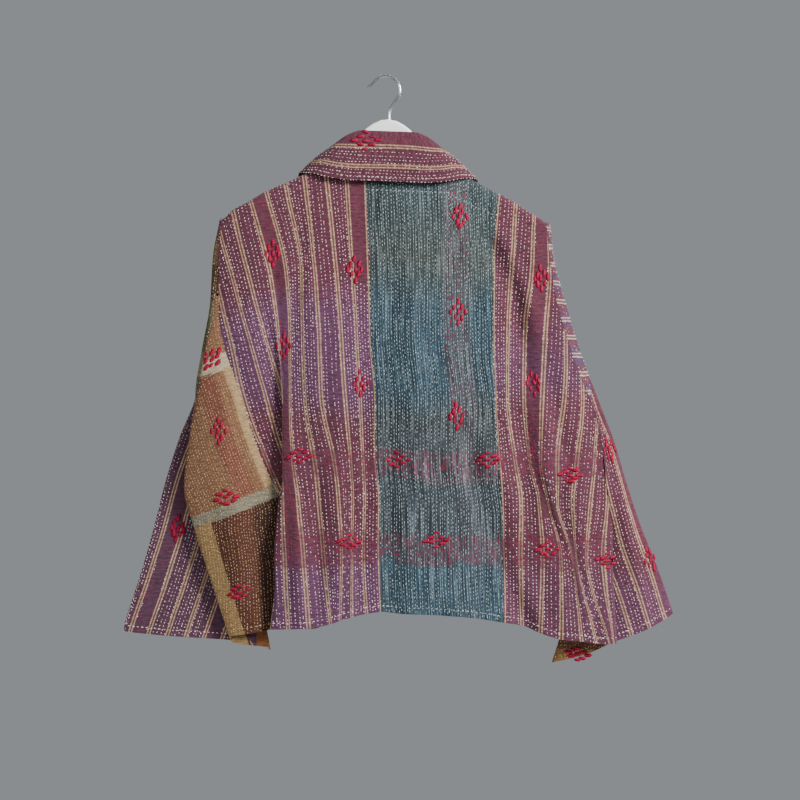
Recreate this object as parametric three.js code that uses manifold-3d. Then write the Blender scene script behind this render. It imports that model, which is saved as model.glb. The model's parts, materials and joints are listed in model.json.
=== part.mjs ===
// A quilted kantha jacket hanging from a plain hanger, seen from its back.
// Millimetres, +Z up. The origin is where the hook bears on whatever holds it,
// -Y is the back of the jacket and +Y is its open front.

import * as THREE from 'three';
import { mergeVertices } from 'three/addons/utils/BufferGeometryUtils.js';
import Module from 'manifold-3d';

// Driving sizes
const WALL = 2; // layers of old cotton, stitched through
const SEAM_GAP = 0.3; // between two pieces that are sewn together
const BEND = 9; // radius of the cloth where it turns over the hanger's arms
const TILT = 0.035; // the hanger's right arm hangs a little lower
const NECK_HALF = 96; // centre line to the point where a shoulder meets the neck
const NECK_TURN = 12; // width over which the neck's edge climbs on to the shoulder
const NECK_BACK = -128; // height of the seam at the back of the neck
const NECK_FRONT = -214; // height where the front edges begin
const FRONT_HEM = -772; // height where they end, a little above the back's hem
const OPENING_HALF = 10; // half of the gap between the two fronts
const BEND_ROWS = 4; // rows of points round the bend at a shoulder
const SLEEVE_ROWS = 17; // rows of points down a sleeve, shared with the body below the bend
const HEAD_ROWS = 7; // rows of a sleeve that belong to its upper patch
const BROWN_TOP_ROW = 3; // row where the left sleeve's brown cloth begins
const WEDGE_TOP_ROW = 12; // row where the right sleeve's brown wedge begins

const HANGER_THICK = 12;
const HANGER_DROP = 3.5; // top of an arm under the middle of the cloth's wall
const ARM_END = 211;
const WIRE = 2.1; // radius of the hook's wire
const HOOK_RADIUS = 21;
const HOOK_CENTRE = { x: -3.5, z: WIRE - HOOK_RADIUS };
const STEM_X = 1.5;
const STEM_FOOT = -80;

// A short table: the first argument names its columns, each row is one section
const table = (columns, rows) => {
  const names = columns.split(/\s+/);
  return rows.map((row) => Object.fromEntries(names.map((name, i) => [name, row[i]])));
};

// Smooth curve through values given at rising or falling knots, never beyond them
function curveAt(knots, values, at) {
  const last = knots.length - 1;
  const rising = knots[last] > knots[0] ? 1 : -1;
  let i = 0;
  while (i < last - 1 && (at - knots[i + 1]) * rising > 0) i += 1;
  const slope = (k) => (values[k + 1] - values[k]) / (knots[k + 1] - knots[k]);
  const tangent = (k) => {
    if (k === 0) return slope(0);
    if (k === last) return slope(last - 1);
    if (slope(k - 1) * slope(k) <= 0) return 0;
    const before = knots[k] - knots[k - 1];
    const after = knots[k + 1] - knots[k];
    const weights = [2 * after + before, after + 2 * before];
    return (3 * (before + after)) / (weights[0] / slope(k - 1) + weights[1] / slope(k));
  };
  const span = knots[i + 1] - knots[i];
  const t = (at - knots[i]) / span;
  if (t < 0) return values[0] + tangent(0) * (at - knots[0]);
  if (t > 1) return values[last] + tangent(last) * (at - knots[last]);
  const a = (1 + 2 * t) * (1 - t) * (1 - t);
  const b = t * (1 - t) * (1 - t) * span;
  const c = t * t * (3 - 2 * t);
  const d = t * t * (t - 1) * span;
  return a * values[i] + b * tangent(i) + c * values[i + 1] + d * tangent(i + 1);
}

const column = (rows, name) => rows.map((row) => row[name]);
const read = (rows, key, name, at) => curveAt(column(rows, key), column(rows, name), at);
const mix = (a, b, t) => a + (b - a) * t;
const ease = (from, to, at) => {
  const t = Math.min(1, Math.max(0, (at - from) / (to - from)));
  return t * t * (3 - 2 * t);
};

// Height of the shoulder's ridge at half width x, before the hanger's tilt
const SHOULDER = table('x z', [
  [80, -121], [90, -127], [130, -151], [180, -175], [204, -190], [229, -205], [241, -220],
]);
const ridge = (x) => read(SHOULDER, 'x', 'z', Math.abs(x)) - TILT * x;

// Depth of the back at each height; it comes forward over the sleeves towards the hem
const BACK_DEPTH = table('z y', [
  [-120, -9], [-170, -11], [-280, -15], [-380, -19], [-470, -23],
  [-560, -26], [-620, -28], [-700, -30], [-810, -32],
]);

// Where the woven stripes lie across the left back, counted from the centre seam.
// s6h and s7h are half way between two stripes; a deep fold turns in between s6 and s8.
const LEFT_BACK = table('z s0 s1 s2 s3 s4 s5 s6 s6h s7 s7h s8 s9 edge', [
  [-170, -32, -60, -88, -119, -147, -178, -205, -219, -234, -248, -262, -284, 7],
  [-280, -27, -52, -76, -107, -126, -149, -174, -190, -206, -218, -230, -254, 8.7],
  [-380, -25, -46, -68, -100, -124, -143, -160, -170, -180, -192, -203, -231, 9.4],
  [-470, -18, -41, -62, -96, -120, -142, -154, -142, -154, -166, -178, -210, 9.12],
  [-560, -17, -36, -54, -78, -107, -138, -152, -145, -132, -138, -151, -177, 9.25],
  [-620, -12, -34, -51, -71, -100, -130, -152, -158, -145, -132, -124, -151, 9.1],
  [-700, -12, -35, -52, -67, -93, -123, -150, -164, -157, -144, -131, -104, 9.3],
  [-810, -9, -29, -52, -69, -81, -114, -144, -158, -171, -158, -145, -119, 9.3],
]);
const LEFT_KNOTS = table('name at', [
  ['s0', 0], ['s1', 1], ['s2', 2], ['s3', 3], ['s4', 4], ['s5', 5], ['s6', 6],
  ['s6h', 6.5], ['s7', 7], ['s7h', 7.5], ['s8', 8], ['s9', 9],
]);
// How far the same lines of the left back lie behind its face
const LEFT_FOLD = table('z s5 s6 s6h s7 s7h s8 s9', [
  [-170, 0, 0, 0, 0, 0, 0, 2],
  [-280, 0, 0, 0, 0, 0, 0, 3],
  [-380, 0, 1, 6, 5, 3, 2, 4],
  [-470, 0, 1, 7, 12, 11, 10, 12],
  [-560, 0, 0, 6, 8, 12, 14, 15],
  [-620, 0, 0, 6, 8, 11, 14.5, 16],
  [-700, 0, 0, 2, 6.5, 8, 9, 10],
  [-810, 0, 0, 0, 3.5, 6.5, 7, 8],
]);
const LEFT_FOLD_KNOTS = table('name at', [
  ['s5', 5], ['s6', 6], ['s6h', 6.5], ['s7', 7], ['s7h', 7.5], ['s8', 8], ['s9', 9],
]);

const RIGHT_BACK = table('z s0 s1 s2 s3 s4 s5 s6 s7 s7h s8 edge', [
  [-170, 161, 188, 215, 232, 252, 272, 292, 312, 322, 332, 2.7],
  [-280, 153, 180, 209, 235, 256, 276, 296, 316, 326, 336, 3.1],
  [-380, 152, 174, 200, 229, 259, 279, 299, 319, 329, 339, 4],
  [-470, 155, 173, 198, 223, 255, 282, 305, 322, 332, 342, 5.43],
  [-560, 160, 184, 206, 221, 245, 274, 300, 318, 328, 338, 6.78],
  [-620, 165, 193, 219, 232, 245, 267, 293, 318, 326, 330, 7.06],
  [-700, 167, 192, 223, 249, 266, 272, 286, 310, 325, 321, 7.9],
  [-810, 167, 195, 221, 251, 279, 298, 316, 324, 330, 320, 7.8],
]);
const RIGHT_KNOTS = table('name at', [
  ['s0', 0], ['s1', 1], ['s2', 2], ['s3', 3], ['s4', 4], ['s5', 5], ['s6', 6], ['s7', 7],
  ['s7h', 7.5], ['s8', 8],
]);
const RIGHT_FOLD = table('z s2 s3 s4 s5 s6 s7 s7h s8', [
  [-170, 0, 1, 3, 3, 3, 3, 3, 3],
  [-280, 0, 2, 3, 3, 3, 3, 3, 3],
  [-380, 0, 1, 3, 4, 4, 4, 4, 4],
  [-470, 0, 0, 1, 3, 5, 5, 5, 5],
  [-560, 0, 3, 0, 1, 3, 6, 8, 9],
  [-620, 0, 4, 2, 0, 3, 10, 12, 13],
  [-700, 0, 1, 4, 1, 0, 2, 5, 10],
  [-810, 0, 0, 1, 3, 0, 2, 6, 10],
]);
const RIGHT_FOLD_KNOTS = table('name at', [
  ['s2', 2], ['s3', 3], ['s4', 4], ['s5', 5], ['s6', 6], ['s7', 7], ['s7h', 7.5], ['s8', 8],
]);

const across = (rows, knots, s, z) =>
  curveAt(column(knots, 'at'), knots.map((knot) => read(rows, 'z', knot.name, z)), s);

// Long soft folds of the back: stripes from the panel's inner seam, height range, width and rise
const SOFT_FOLDS = {
  left: table('s drift top foot width rise', [
    [1.3, 0.5, -300, -800, 0.8, 3],
    [3.6, -0.3, -250, -740, 0.7, 3.5],
    [5, 0.3, -420, -830, 0.6, 3],
  ]),
  right: table('s drift top foot width rise', [
    [1.4, 0.3, -230, -600, 0.6, -4],
    [1.0, 0.6, -540, -830, 0.7, -5],
    [2.2, 2.6, -430, -800, 0.6, 4],
    [4.4, -1.2, -330, -620, 0.8, 4],
  ]),
  centre: table('s drift top foot width rise', [
    [0.16, 0.03, -260, -800, 0.07, 3],
    [0.42, -0.02, -200, -620, 0.09, 3],
    [0.66, 0.06, -430, -830, 0.07, 3.5],
    [0.9, 0.02, -330, -820, 0.06, 2.5],
  ]),
};

function softFolds(folds, s, z) {
  return folds.reduce((sum, fold) => {
    const down = (z - fold.top) / (fold.foot - fold.top);
    const fade = ease(0, 0.25, down) * (1 - ease(0.85, 1.2, down));
    const away = (s - fold.s - fold.drift * down) / fold.width;
    return sum - fold.rise * fade * Math.exp(-away * away);
  }, 0);
}

// Depth of a panel's back: first round the bend at the shoulder, then down the back
function hangingDepth(hang) {
  return -BEND * Math.sin(hang.angle) + (read(BACK_DEPTH, 'z', 'y', hang.z) + BEND) * hang.settle;
}

const BACKS = {
  left: { lines: LEFT_BACK, knots: LEFT_KNOTS, fold: LEFT_FOLD, foldKnots: LEFT_FOLD_KNOTS },
  right: { lines: RIGHT_BACK, knots: RIGHT_KNOTS, fold: RIGHT_FOLD, foldKnots: RIGHT_FOLD_KNOTS },
};

// Hem heights of the two striped backs, by stripe, and of the panel between them
const HEM = {
  left: table('s z', [
    [0, -779], [1, -782], [2, -787], [3, -792], [4, -797], [5, -803], [7, -805], [9.3, -805],
  ]),
  right: table('s z', [
    [0, -795], [1, -800], [2, -810], [3, -819], [4, -822], [5.5, -826], [9, -826],
  ]),
};
const CENTRE_HEM = table('u z', [[0, -779], [0.15, -782], [0.5, -784.5], [0.75, -788], [1, -795]]);

const stripeX = (side, s, z) => across(BACKS[side].lines, BACKS[side].knots, s, z);
const edgeStripe = (side, z) => read(BACKS[side].lines, 'z', 'edge', z);

// Height of the top edge at a place across: the neck's curve, then the shoulder's ridge
const onRidge = (x) => ease(NECK_HALF - NECK_TURN, NECK_HALF, Math.abs(x));
const topHeight = (x) => mix(NECK_BACK + BEND - TILT * x, ridge(x), onRidge(x));

// One row of a panel: its height, its angle round the bend and how far it has settled
// below it. On the ridge the rows begin at the top of the bend, at the neck they begin
// at its foot.
function hang(row, top, hem, ridged) {
  const bent = Math.min(1, row / BEND_ROWS);
  const angle = (Math.PI / 2) * mix(1 - ridged, 1, bent);
  const foot = top - BEND * (2 - ridged);
  const z = row <= BEND_ROWS
    ? top - BEND * (1 - Math.cos(angle)) - BEND * (1 - ridged) * bent
    : mix(foot, hem, (row - BEND_ROWS) / SLEEVE_ROWS);
  return { z, angle, settle: ease(0, 60, foot - z) };
}
const BODY_ROWS = BEND_ROWS + SLEEVE_ROWS;

// One of the striped backs: u runs from the centre seam (0) to the armhole and side seam (1)
function stripedBack(side, u, row) {
  const outerTop = side === 'left' ? -209 : -217;
  let x = stripeX(side, u * edgeStripe(side, NECK_BACK), NECK_BACK);
  let top = topHeight(x);
  for (let pass = 0; pass < 4; pass += 1) {
    x = stripeX(side, u * edgeStripe(side, top), top);
    top = Math.max(outerTop, topHeight(x));
  }
  const hem = read(HEM[side], 's', 'z', u * edgeStripe(side, -810));
  const place = hang(row, top, hem, onRidge(x));
  const { z, settle } = place;
  const s = u * edgeStripe(side, z);
  const { fold, foldKnots } = BACKS[side];
  const turned = s > foldKnots[0].at ? across(fold, foldKnots, s, z) : 0;
  const y = hangingDepth(place) + (turned + softFolds(SOFT_FOLDS[side], s, z)) * settle;
  return new THREE.Vector3(stripeX(side, s, z), y, z);
}

// The indigo panel between the two striped backs
function centreBack(u, row) {
  const left = stripedBack('left', 0, row);
  const right = stripedBack('right', 0, row);
  const top = topHeight(mix(stripedBack('left', 0, 0).x, stripedBack('right', 0, 0).x, u));
  const ridged = onRidge(mix(left.x, right.x, u)) * ease(0.4, 1, u);
  const place = hang(row, top, read(CENTRE_HEM, 'u', 'z', u), ridged);
  const x = mix(stripeX('left', 0, place.z), stripeX('right', 0, place.z), u);
  const inside = Math.sin(Math.PI * Math.min(1, Math.max(0, u)));
  const puckers = softFolds(SOFT_FOLDS.centre, u, place.z) * inside;
  const seams = mix(softFolds(SOFT_FOLDS.left, 0, left.z), softFolds(SOFT_FOLDS.right, 0, right.z), u);
  return new THREE.Vector3(x, hangingDepth(place) + (puckers + seams) * place.settle, place.z);
}

// The outer edge of a front: the front of the armhole, then the side seam
const FRONT_EDGE = {
  left: table('z y', [
    [-209, 9], [-280, 10], [-380, 9], [-470, 5], [-560, -4], [-620, -9.2], [-640, -11.2], [-660, -13.2],
    [-680, -16.4], [-700, -19.2], [-810, -23.6],
  ]),
  right: table('z y', [
    [-217, 9], [-280, 10], [-380, 9.5], [-470, 7.5], [-560, -3], [-620, -14.6], [-660, -16.6],
    [-700, -18], [-810, -20],
  ]),
};
const FRONT_MIDDLE = table('z y', [
  [-200, 11], [-280, 13], [-380, 13], [-470, 12], [-620, 8], [-700, 5], [-810, 2],
]);

// How far across a front its columns lie; they are closest where the neck begins
const FRONT_ACROSS = table('u share', [
  [0, 0], [6 / 12, 0.6], [7 / 12, 0.626], [8 / 12, 0.652], [9 / 12, 0.68], [1, 1],
]);

function front(side, u, row) {
  const sign = side === 'left' ? -1 : 1;
  const edgeTop = stripedBack(side, 1, 0);
  const inwards = read(FRONT_ACROSS, 'u', 'share', u);
  const topX = mix(edgeTop.x, sign * OPENING_HALF, inwards);
  const neck = NECK_HALF - NECK_TURN;
  const intoNeck = Math.max(0, (neck - Math.abs(topX)) / (neck - OPENING_HALF));
  const shoulder = Math.max(edgeTop.z, ridge(Math.max(NECK_HALF - NECK_TURN, Math.abs(topX)) * sign));
  const top = mix(shoulder, NECK_FRONT + BEND, intoNeck ** 0.85);
  const hem = mix(stripedBack(side, 1, BODY_ROWS).z, FRONT_HEM, ease(0, 0.5, u));
  const { z, angle, settle } = hang(row, top, hem, onRidge(topX));
  const edgeX = stripedBack(side, 1, row).x;
  const x = mix(edgeX, sign * OPENING_HALF, inwards);
  const edgeY = read(FRONT_EDGE[side], 'z', 'y', z);
  const middleY = read(FRONT_MIDDLE, 'z', 'y', z);
  const wave = 3 * Math.sin(u * 9 + z / 130) * ease(0, 0.3, u) * (1 - ease(0.75, 1, u));
  const y = mix(BEND * Math.sin(angle), mix(edgeY, middleY, ease(0, 0.55, u)) + wave, settle);
  return new THREE.Vector3(x, y, z);
}

// Sections of the left sleeve, going round from the back of the armhole: the near
// layer's crest, its outer fold, the hidden turn, the far striped fold and the far layer
const LEFT_SLEEVE = table('z crestX crestY lobeX lobeY turnX turnY outX outY farX farY', [
  [-217, -244, -8, -246, -5, -247, -1, -247, 3, -246, 7],
  [-262, -250, -10, -253, -7, -255, -3, -255.5, 2, -253, 8],
  [-330, -254, -12, -257, -9, -259, -4, -259, 3, -253, 9],
  [-400, -250, -17, -266, -12, -271, -6, -272, 3, -255, 11],
  [-462, -245, -21, -277, -13, -280, -6, -280, 4, -250, 13],
  [-530, -240, -24, -289, -14, -268, -6, -306, 5, -250, 14],
  [-600, -235, -25, -296, -15, -240, -5, -328, 6, -245, 15],
  [-660, -225, -25, -281, -15, -215, -4, -343, 6, -240, 15],
  [-720, -212, -23, -262, -14, -195, -3, -360, 6, -240, 15],
  [-800, -200, -21, -236, -13, -180, -2, -386, 6, -250, 15],
]);
// Its edge under the arm, once it hangs free of the body
const LEFT_UNDERARM = table('z x y', [
  [-640, -157, -9], [-660, -152, -7], [-700, -146, -4], [-720, -143.5, -2], [-805, -141, 0],
]);
const LEFT_SLEEVE_HEM = table('i z', [
  [0, -805], [1, -807], [2, -812], [4, -821], [5.5, -831], [7, -838], [8.5, -821], [10, -797],
  [12, -812], [13, -805],
]);

const RIGHT_SLEEVE = table('z midX midY outX outY farX farY', [
  [-226, 235.5, -6.5, 237.5, 0, 235.5, 6.5],
  [-262, 239.5, -9, 241.5, 0, 239, 8],
  [-330, 254, -10, 259, 0, 253, 9],
  [-400, 274, -10, 280, 0, 272, 10],
  [-478, 302, -10, 309, 0, 302, 9.5],
  [-530, 320, -11, 329, 0, 318, 10],
  [-600, 336, -13, 350, -1, 334, 8],
  [-660, 347, -14, 370, -2, 345, 8],
  [-720, 360, -14, 394, -2, 358, 10],
  [-790, 372, -13, 418, -2, 370, 11],
]);
// The striped cloth's two edges under the arm and the fold between them
const RIGHT_UNDERARM = table('z nearX nearY foldX foldY farX farY', [
  [-640, 323, -11.5, 321.5, -8.5, 323, -5.5],
  [-700, 322, -11, 297, -3, 325, 3],
  [-760, 325, -11, 272, 0, 330, 8],
  [-840, 328, -10, 246, 0, 336, 9],
]);
const RIGHT_SLEEVE_HEM = table('i z', [[0, -826], [1, -808], [2, -785], [3, -808], [4, -826]]);
const RIGHT_BROWN_HEM = table('i z', [[0, -826], [1, -845], [2, -857], [3, -845], [4, -826]]);

// A point on the seam between body and sleeve, on the back or the front of the armhole
const SEAM_CLEAR = 3; // four edges meet at the underarm, so the sleeve's stay this far out
const UNDERARM = -620;
const PINCH = 0.5; // half the distance between a sleeve's two edges under the arm
const armhole = (side, faces, row) => (faces === 'back' ? stripedBack(side, 1, row) : front(side, 0, row));

// A place on a smooth line through a section's points, counted in points from the first
function sectionPoint(points, index) {
  const lengths = [0];
  for (let i = 1; i < points.length; i += 1) {
    const step = [points[i][0] - points[i - 1][0], points[i][1] - points[i - 1][1]];
    lengths.push(lengths[i - 1] + Math.hypot(...step));
  }
  const whole = Math.min(points.length - 2, Math.max(0, Math.floor(index)));
  const at = mix(lengths[whole], lengths[whole + 1], index - whole);
  return {
    x: curveAt(lengths, points.map((p) => p[0]), at),
    y: curveAt(lengths, points.map((p) => p[1]), at),
  };
}

// Blend from the armhole seam to the free edge under the arm
function sleeveEdge(side, faces, row, z, free) {
  const seam = armhole(side, faces, row + BEND_ROWS);
  const sign = side === 'left' ? -1 : 1;
  const t = ease(UNDERARM + 10, UNDERARM - 40, z);
  const clear = sign * SEAM_CLEAR * ease(UNDERARM + 45, UNDERARM + 10, z) * (1 - t);
  return [mix(seam.x, free[0], t) + clear, mix(seam.y, free[1], t)];
}

const FOLD_ROUND = 2.2; // half the thickness of a folded edge
const LEFT_ROUND = 13; // places round the left sleeve, from the back of the armhole to its front
function leftSleeve(index, row) {
  const arch = Math.sin((Math.PI * index) / LEFT_ROUND);
  const top = armhole('left', 'back', BEND_ROWS).z + BEND * arch;
  const hem = read(LEFT_SLEEVE_HEM, 'i', 'z', index);
  const z = mix(top, hem, row / SLEEVE_ROWS);
  const get = (name) => read(LEFT_SLEEVE, 'z', name, z);
  const under = [read(LEFT_UNDERARM, 'z', 'x', z), read(LEFT_UNDERARM, 'z', 'y', z)];
  const near = sleeveEdge('left', 'back', row, z, [under[0], under[1] - PINCH]);
  const far = sleeveEdge('left', 'front', row, z, [under[0], under[1] + PINCH]);
  const crest = [get('crestX'), get('crestY')];
  const round = mix(1, FOLD_ROUND, ease(-230, -330, z));
  const folded = round * ease(-440, -520, z);
  const fold = (name, inwards) => {
    const [x, y] = [get(`${name}X`), get(`${name}Y`)];
    return [[x + inwards * folded, y - round], [x, y], [x + inwards * folded, y + round]];
  };
  const points = [
    near,
    [mix(near[0], crest[0], 0.5), mix(near[1], crest[1], 0.62)],
    crest,
    ...fold('lobe', 1),
    ...fold('turn', -1),
    ...fold('out', 1),
    [get('farX'), get('farY')],
    far,
  ];
  const { x, y } = sectionPoint(points, index);
  return new THREE.Vector3(x, y, z);
}

// Along the left sleeve the brown cloth ends at this place round the section
const BROWN_EDGE = table('row at', [[2, 1], [3, 1.6], [4.6, 2.6], [5.5, 3.4], [7, 5.5], [17, 5.5]]);
const brownEdge = (row) => (row < BROWN_TOP_ROW ? 0 : read(BROWN_EDGE, 'row', 'at', row));

function rightSleeve(index, row) {
  const arch = Math.sin((Math.PI * index) / 4);
  const top = armhole('right', 'back', BEND_ROWS).z + BEND * arch;
  const z = mix(top, read(RIGHT_SLEEVE_HEM, 'i', 'z', index), row / SLEEVE_ROWS);
  const get = (name) => read(RIGHT_SLEEVE, 'z', name, z);
  const edge = (name) => read(RIGHT_UNDERARM, 'z', name, z);
  const points = [
    sleeveEdge('right', 'back', row, z, [edge('nearX'), edge('nearY')]),
    [get('midX'), get('midY')],
    [get('outX'), get('outY')],
    [get('farX'), get('farY')],
    sleeveEdge('right', 'front', row, z, [edge('farX'), edge('farY')]),
  ];
  const { x, y } = sectionPoint(points, index);
  return new THREE.Vector3(x, y, z);
}

// The brown cloth under the right arm, a long wedge that opens towards the cuff
function rightWedge(index, row) {
  const near = rightSleeve(0, row);
  const far = rightSleeve(4, row);
  const drop = (read(RIGHT_BROWN_HEM, 'i', 'z', index) - read(RIGHT_SLEEVE_HEM, 'i', 'z', 0))
    * ease(WEDGE_TOP_ROW, SLEEVE_ROWS, row);
  const z = near.z + drop;
  const fold = [read(RIGHT_UNDERARM, 'z', 'foldX', z), read(RIGHT_UNDERARM, 'z', 'foldY', z)];
  const points = [
    [near.x, near.y],
    [mix(near.x, fold[0], 0.5), mix(near.y, fold[1], 0.25)],
    fold,
    [mix(far.x, fold[0], 0.5), mix(far.y, fold[1], 0.25)],
    [far.x, far.y],
  ];
  const { x, y } = sectionPoint(points, index);
  return new THREE.Vector3(x, y, z);
}

// Half of the collar, from the middle of the back round to the front. Each station
// has the sewn neck edge, the roll at the top and the free outer edge.
const COLLAR = table('t neckX neckY neckZ rollX rollY rollZ outX outY outZ lift', [
  [0, 0, -10, -127.5, 0, -14, -81, 0, -20, -155, 3],
  [1, 34, -10, -127.5, 36, -14, -81, 48, -20, -155, 3],
  [2, 62, -10, -127.5, 56, -12, -87, 84, -19, -152, 3],
  [3, 85, -9.5, -125, 74, -7, -101, 112, -13, -146, 3],
  [4, 96, 1.5, -127, 84, 3, -111, 130, 2.5, -145, 3],
  [4.5, 94, 12, -130, 84, 11, -119, 132, 11.5, -151, 2.5],
  [5, 86, 13, -144, 82, 16, -133, 132, 17, -172, 2],
  [6, 62, 15.5, -174, 62, 19, -166, 118, 20, -212, 2],
  [7, 30, 17, -203, 32, 20.5, -200, 84, 22, -244, 2],
]);

// u runs across the collar from its neck edge to its free edge, t from end to end
function collarPoint(u, t) {
  const sign = t < 0 ? -1 : 1;
  const get = (name) => read(COLLAR, 't', name, Math.abs(t));
  const place = (name) => new THREE.Vector3(sign * get(`${name}X`), get(`${name}Y`), get(`${name}Z`));
  const neck = place('neck');
  const roll = place('roll');
  const out = place('out');
  const outward = new THREE.Vector3(0, ease(5.2, 3, Math.abs(t)) * -2 + 1, 0);
  outward.z = ease(2, 3.6, Math.abs(t)) * (1 - ease(4.4, 6, Math.abs(t)));
  outward.normalize();
  const shift = (point, amount) => point.clone().addScaledVector(outward, amount);
  const lift = get('lift');
  // Up the inner side to the roll, then down the outer side with some air under it
  const points = [
    neck,
    shift(neck.clone().lerp(roll, 0.55), -0.5),
    shift(neck.clone().lerp(roll, 0.92), 0.2),
    shift(roll.clone().lerp(out, 0.02), lift),
    shift(roll.clone().lerp(out, 0.3), lift + 2),
    shift(roll.clone().lerp(out, 0.65), lift + 1),
    out,
  ];
  const knots = points.map((_, i) => i / (points.length - 1));
  const point = new THREE.Vector3(
    curveAt(knots, points.map((p) => p.x), u),
    curveAt(knots, points.map((p) => p.y), u),
    curveAt(knots, points.map((p) => p.z), u),
  );
  point.z -= TILT * point.x;
  return point;
}

// A closed wall of cloth on a grid of points. The grid's own edges are drawn in by
// half a seam gap, and the wall is laid half on each side of the points. At a seam the
// wall's direction is shared with the neighbour's nearest points, so that both walls
// meet in a mitre: before and after are those points along the sides, above and below
// those along the ends.
const ACROSS = new THREE.Vector3(1, -1, 1);
const onTop = (point) => Math.abs(point.y) < SEAM_GAP && Math.abs(point.x) > NECK_HALF - NECK_TURN;
function clothWall(pointAt, columns, rows, options = {}) {
  const { flip = false, endGap = SEAM_GAP, before, after, above, below } = options;
  const grid = [];
  for (let i = 0; i <= columns; i += 1) {
    grid.push([]);
    for (let j = 0; j <= rows; j += 1) grid[i].push(pointAt(i / columns, j));
  }
  const towards = (from, to) => to.clone().sub(from).normalize();
  const drawnIn = (line, inner, gap) => line.map((edge, k) => {
    const along = towards(line[Math.max(0, k - 1)], line[Math.min(line.length - 1, k + 1)]);
    const step = towards(edge, inner[k]);
    const square = Math.max(0.5, step.clone().cross(along).length());
    return edge.clone().addScaledVector(step, gap / 2 / square);
  });
  grid[0] = drawnIn(grid[0], grid[1], SEAM_GAP);
  grid[columns] = drawnIn(grid[columns], grid[columns - 1], SEAM_GAP);
  for (const [j, inner] of [[0, 1], [rows, rows - 1]]) {
    const ends = drawnIn(grid.map((line) => line[j]), grid.map((line) => line[inner]), endGap);
    ends.forEach((point, i) => { grid[i][j] = point; });
  }
  const beside = (i, j) => {
    if (i < 0) return before?.(j) ?? grid[0][j];
    if (i > columns) return after?.(j) ?? grid[columns][j];
    if (j < 0 && onTop(grid[i][0])) return grid[i][1].clone().multiply(ACROSS);
    if (j < 0) return above?.(i / columns) ?? grid[i][0];
    if (j > rows) return below?.(i / columns) ?? grid[i][rows];
    return grid[i][j];
  };
  const corners = [];
  for (const side of [1, -1]) {
    for (let i = 0; i <= columns; i += 1) {
      for (let j = 0; j <= rows; j += 1) {
        const here = grid[i][j];
        const du = towards(beside(i - 1, j), here).add(towards(here, beside(i + 1, j)));
        const dv = towards(beside(i, j - 1), here).add(towards(here, beside(i, j + 1)));
        const normal = du.cross(dv).normalize().multiplyScalar(flip ? -1 : 1);
        corners.push(grid[i][j].clone().addScaledVector(normal, (side * WALL) / 2));
      }
    }
  }
  const half = (columns + 1) * (rows + 1);
  const at = (i, j) => i * (rows + 1) + j;
  const faces = [];
  const quad = (a, b, c, d) => faces.push(a, b, c, a, c, d);
  for (let i = 0; i < columns; i += 1) {
    for (let j = 0; j < rows; j += 1) {
      const [a, b, c, d] = [at(i, j), at(i + 1, j), at(i + 1, j + 1), at(i, j + 1)];
      if (flip) {
        quad(a, d, c, b);
        quad(a + half, b + half, c + half, d + half);
      } else {
        quad(a, b, c, d);
        quad(a + half, d + half, c + half, b + half);
      }
    }
  }
  const rim = [];
  for (let i = 0; i < columns; i += 1) rim.push(at(i, 0));
  for (let j = 0; j < rows; j += 1) rim.push(at(columns, j));
  for (let i = columns; i > 0; i -= 1) rim.push(at(i, rows));
  for (let j = rows; j > 0; j -= 1) rim.push(at(0, j));
  if (flip) rim.reverse();
  rim.forEach((a, k) => {
    const b = rim[(k + 1) % rim.length];
    // Both walls at a seam split their rims along the same diagonal
    if (a < b) faces.push(b, a, b + half, a, a + half, b + half);
    else quad(b, a, a + half, b + half);
  });
  const geometry = new THREE.BufferGeometry();
  const positions = corners.flatMap((corner) => corner.toArray());
  geometry.setAttribute('position', new THREE.Float32BufferAttribute(positions, 3));
  geometry.setIndex(faces);
  geometry.computeVertexNormals();
  return geometry;
}

// The flat hanger: a round crown in the middle and an arm to each side
const HANGER_TOP = table('x z', [
  [0, -62], [12, -64], [24, -70], [33, -77], [46, -90], [62, -106], [78, -121.5],
]);
const HANGER_FOOT = table('x z', [
  [0, -108], [60, -136], [90, -153], [130, -175], [180, -199], [212, -219],
]);

function hangerOutline() {
  const armTop = (x) => ridge(x) - HANGER_DROP;
  const right = [];
  for (const { x, z } of HANGER_TOP) right.push([x, z]);
  for (let x = 90; x <= ARM_END; x += 13) right.push([x, armTop(x) + TILT * x]);
  const feet = HANGER_FOOT.map(({ x, z }) => [x, z]).reverse();
  const end = [[ARM_END + 4, armTop(ARM_END) + TILT * ARM_END - 9]];
  const rightHalf = [...right, ...end, ...feet];
  const leftHalf = rightHalf.slice(1, -1).reverse().map(([x, z]) => [-x, z]);
  return new THREE.Shape([...rightHalf, ...leftHalf].map(([x, z]) => new THREE.Vector2(x, z - TILT * x)));
}

const wasm = await Module();
wasm.setup();

function solidOf(geometry) {
  geometry.deleteAttribute('normal');
  geometry.deleteAttribute('uv');
  const merged = mergeVertices(geometry, 1e-4);
  return new wasm.Manifold(new wasm.Mesh({
    numProp: 3,
    vertProperties: new Float32Array(merged.attributes.position.array),
    triVerts: new Uint32Array(merged.index.array),
  }));
}

function geometryOf(solid) {
  const { vertProperties, triVerts } = solid.getMesh();
  const geometry = new THREE.BufferGeometry();
  geometry.setAttribute('position', new THREE.BufferAttribute(new Float32Array(vertProperties), 3));
  geometry.setIndex(new THREE.BufferAttribute(new Uint32Array(triVerts), 1));
  return geometry;
}

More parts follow.
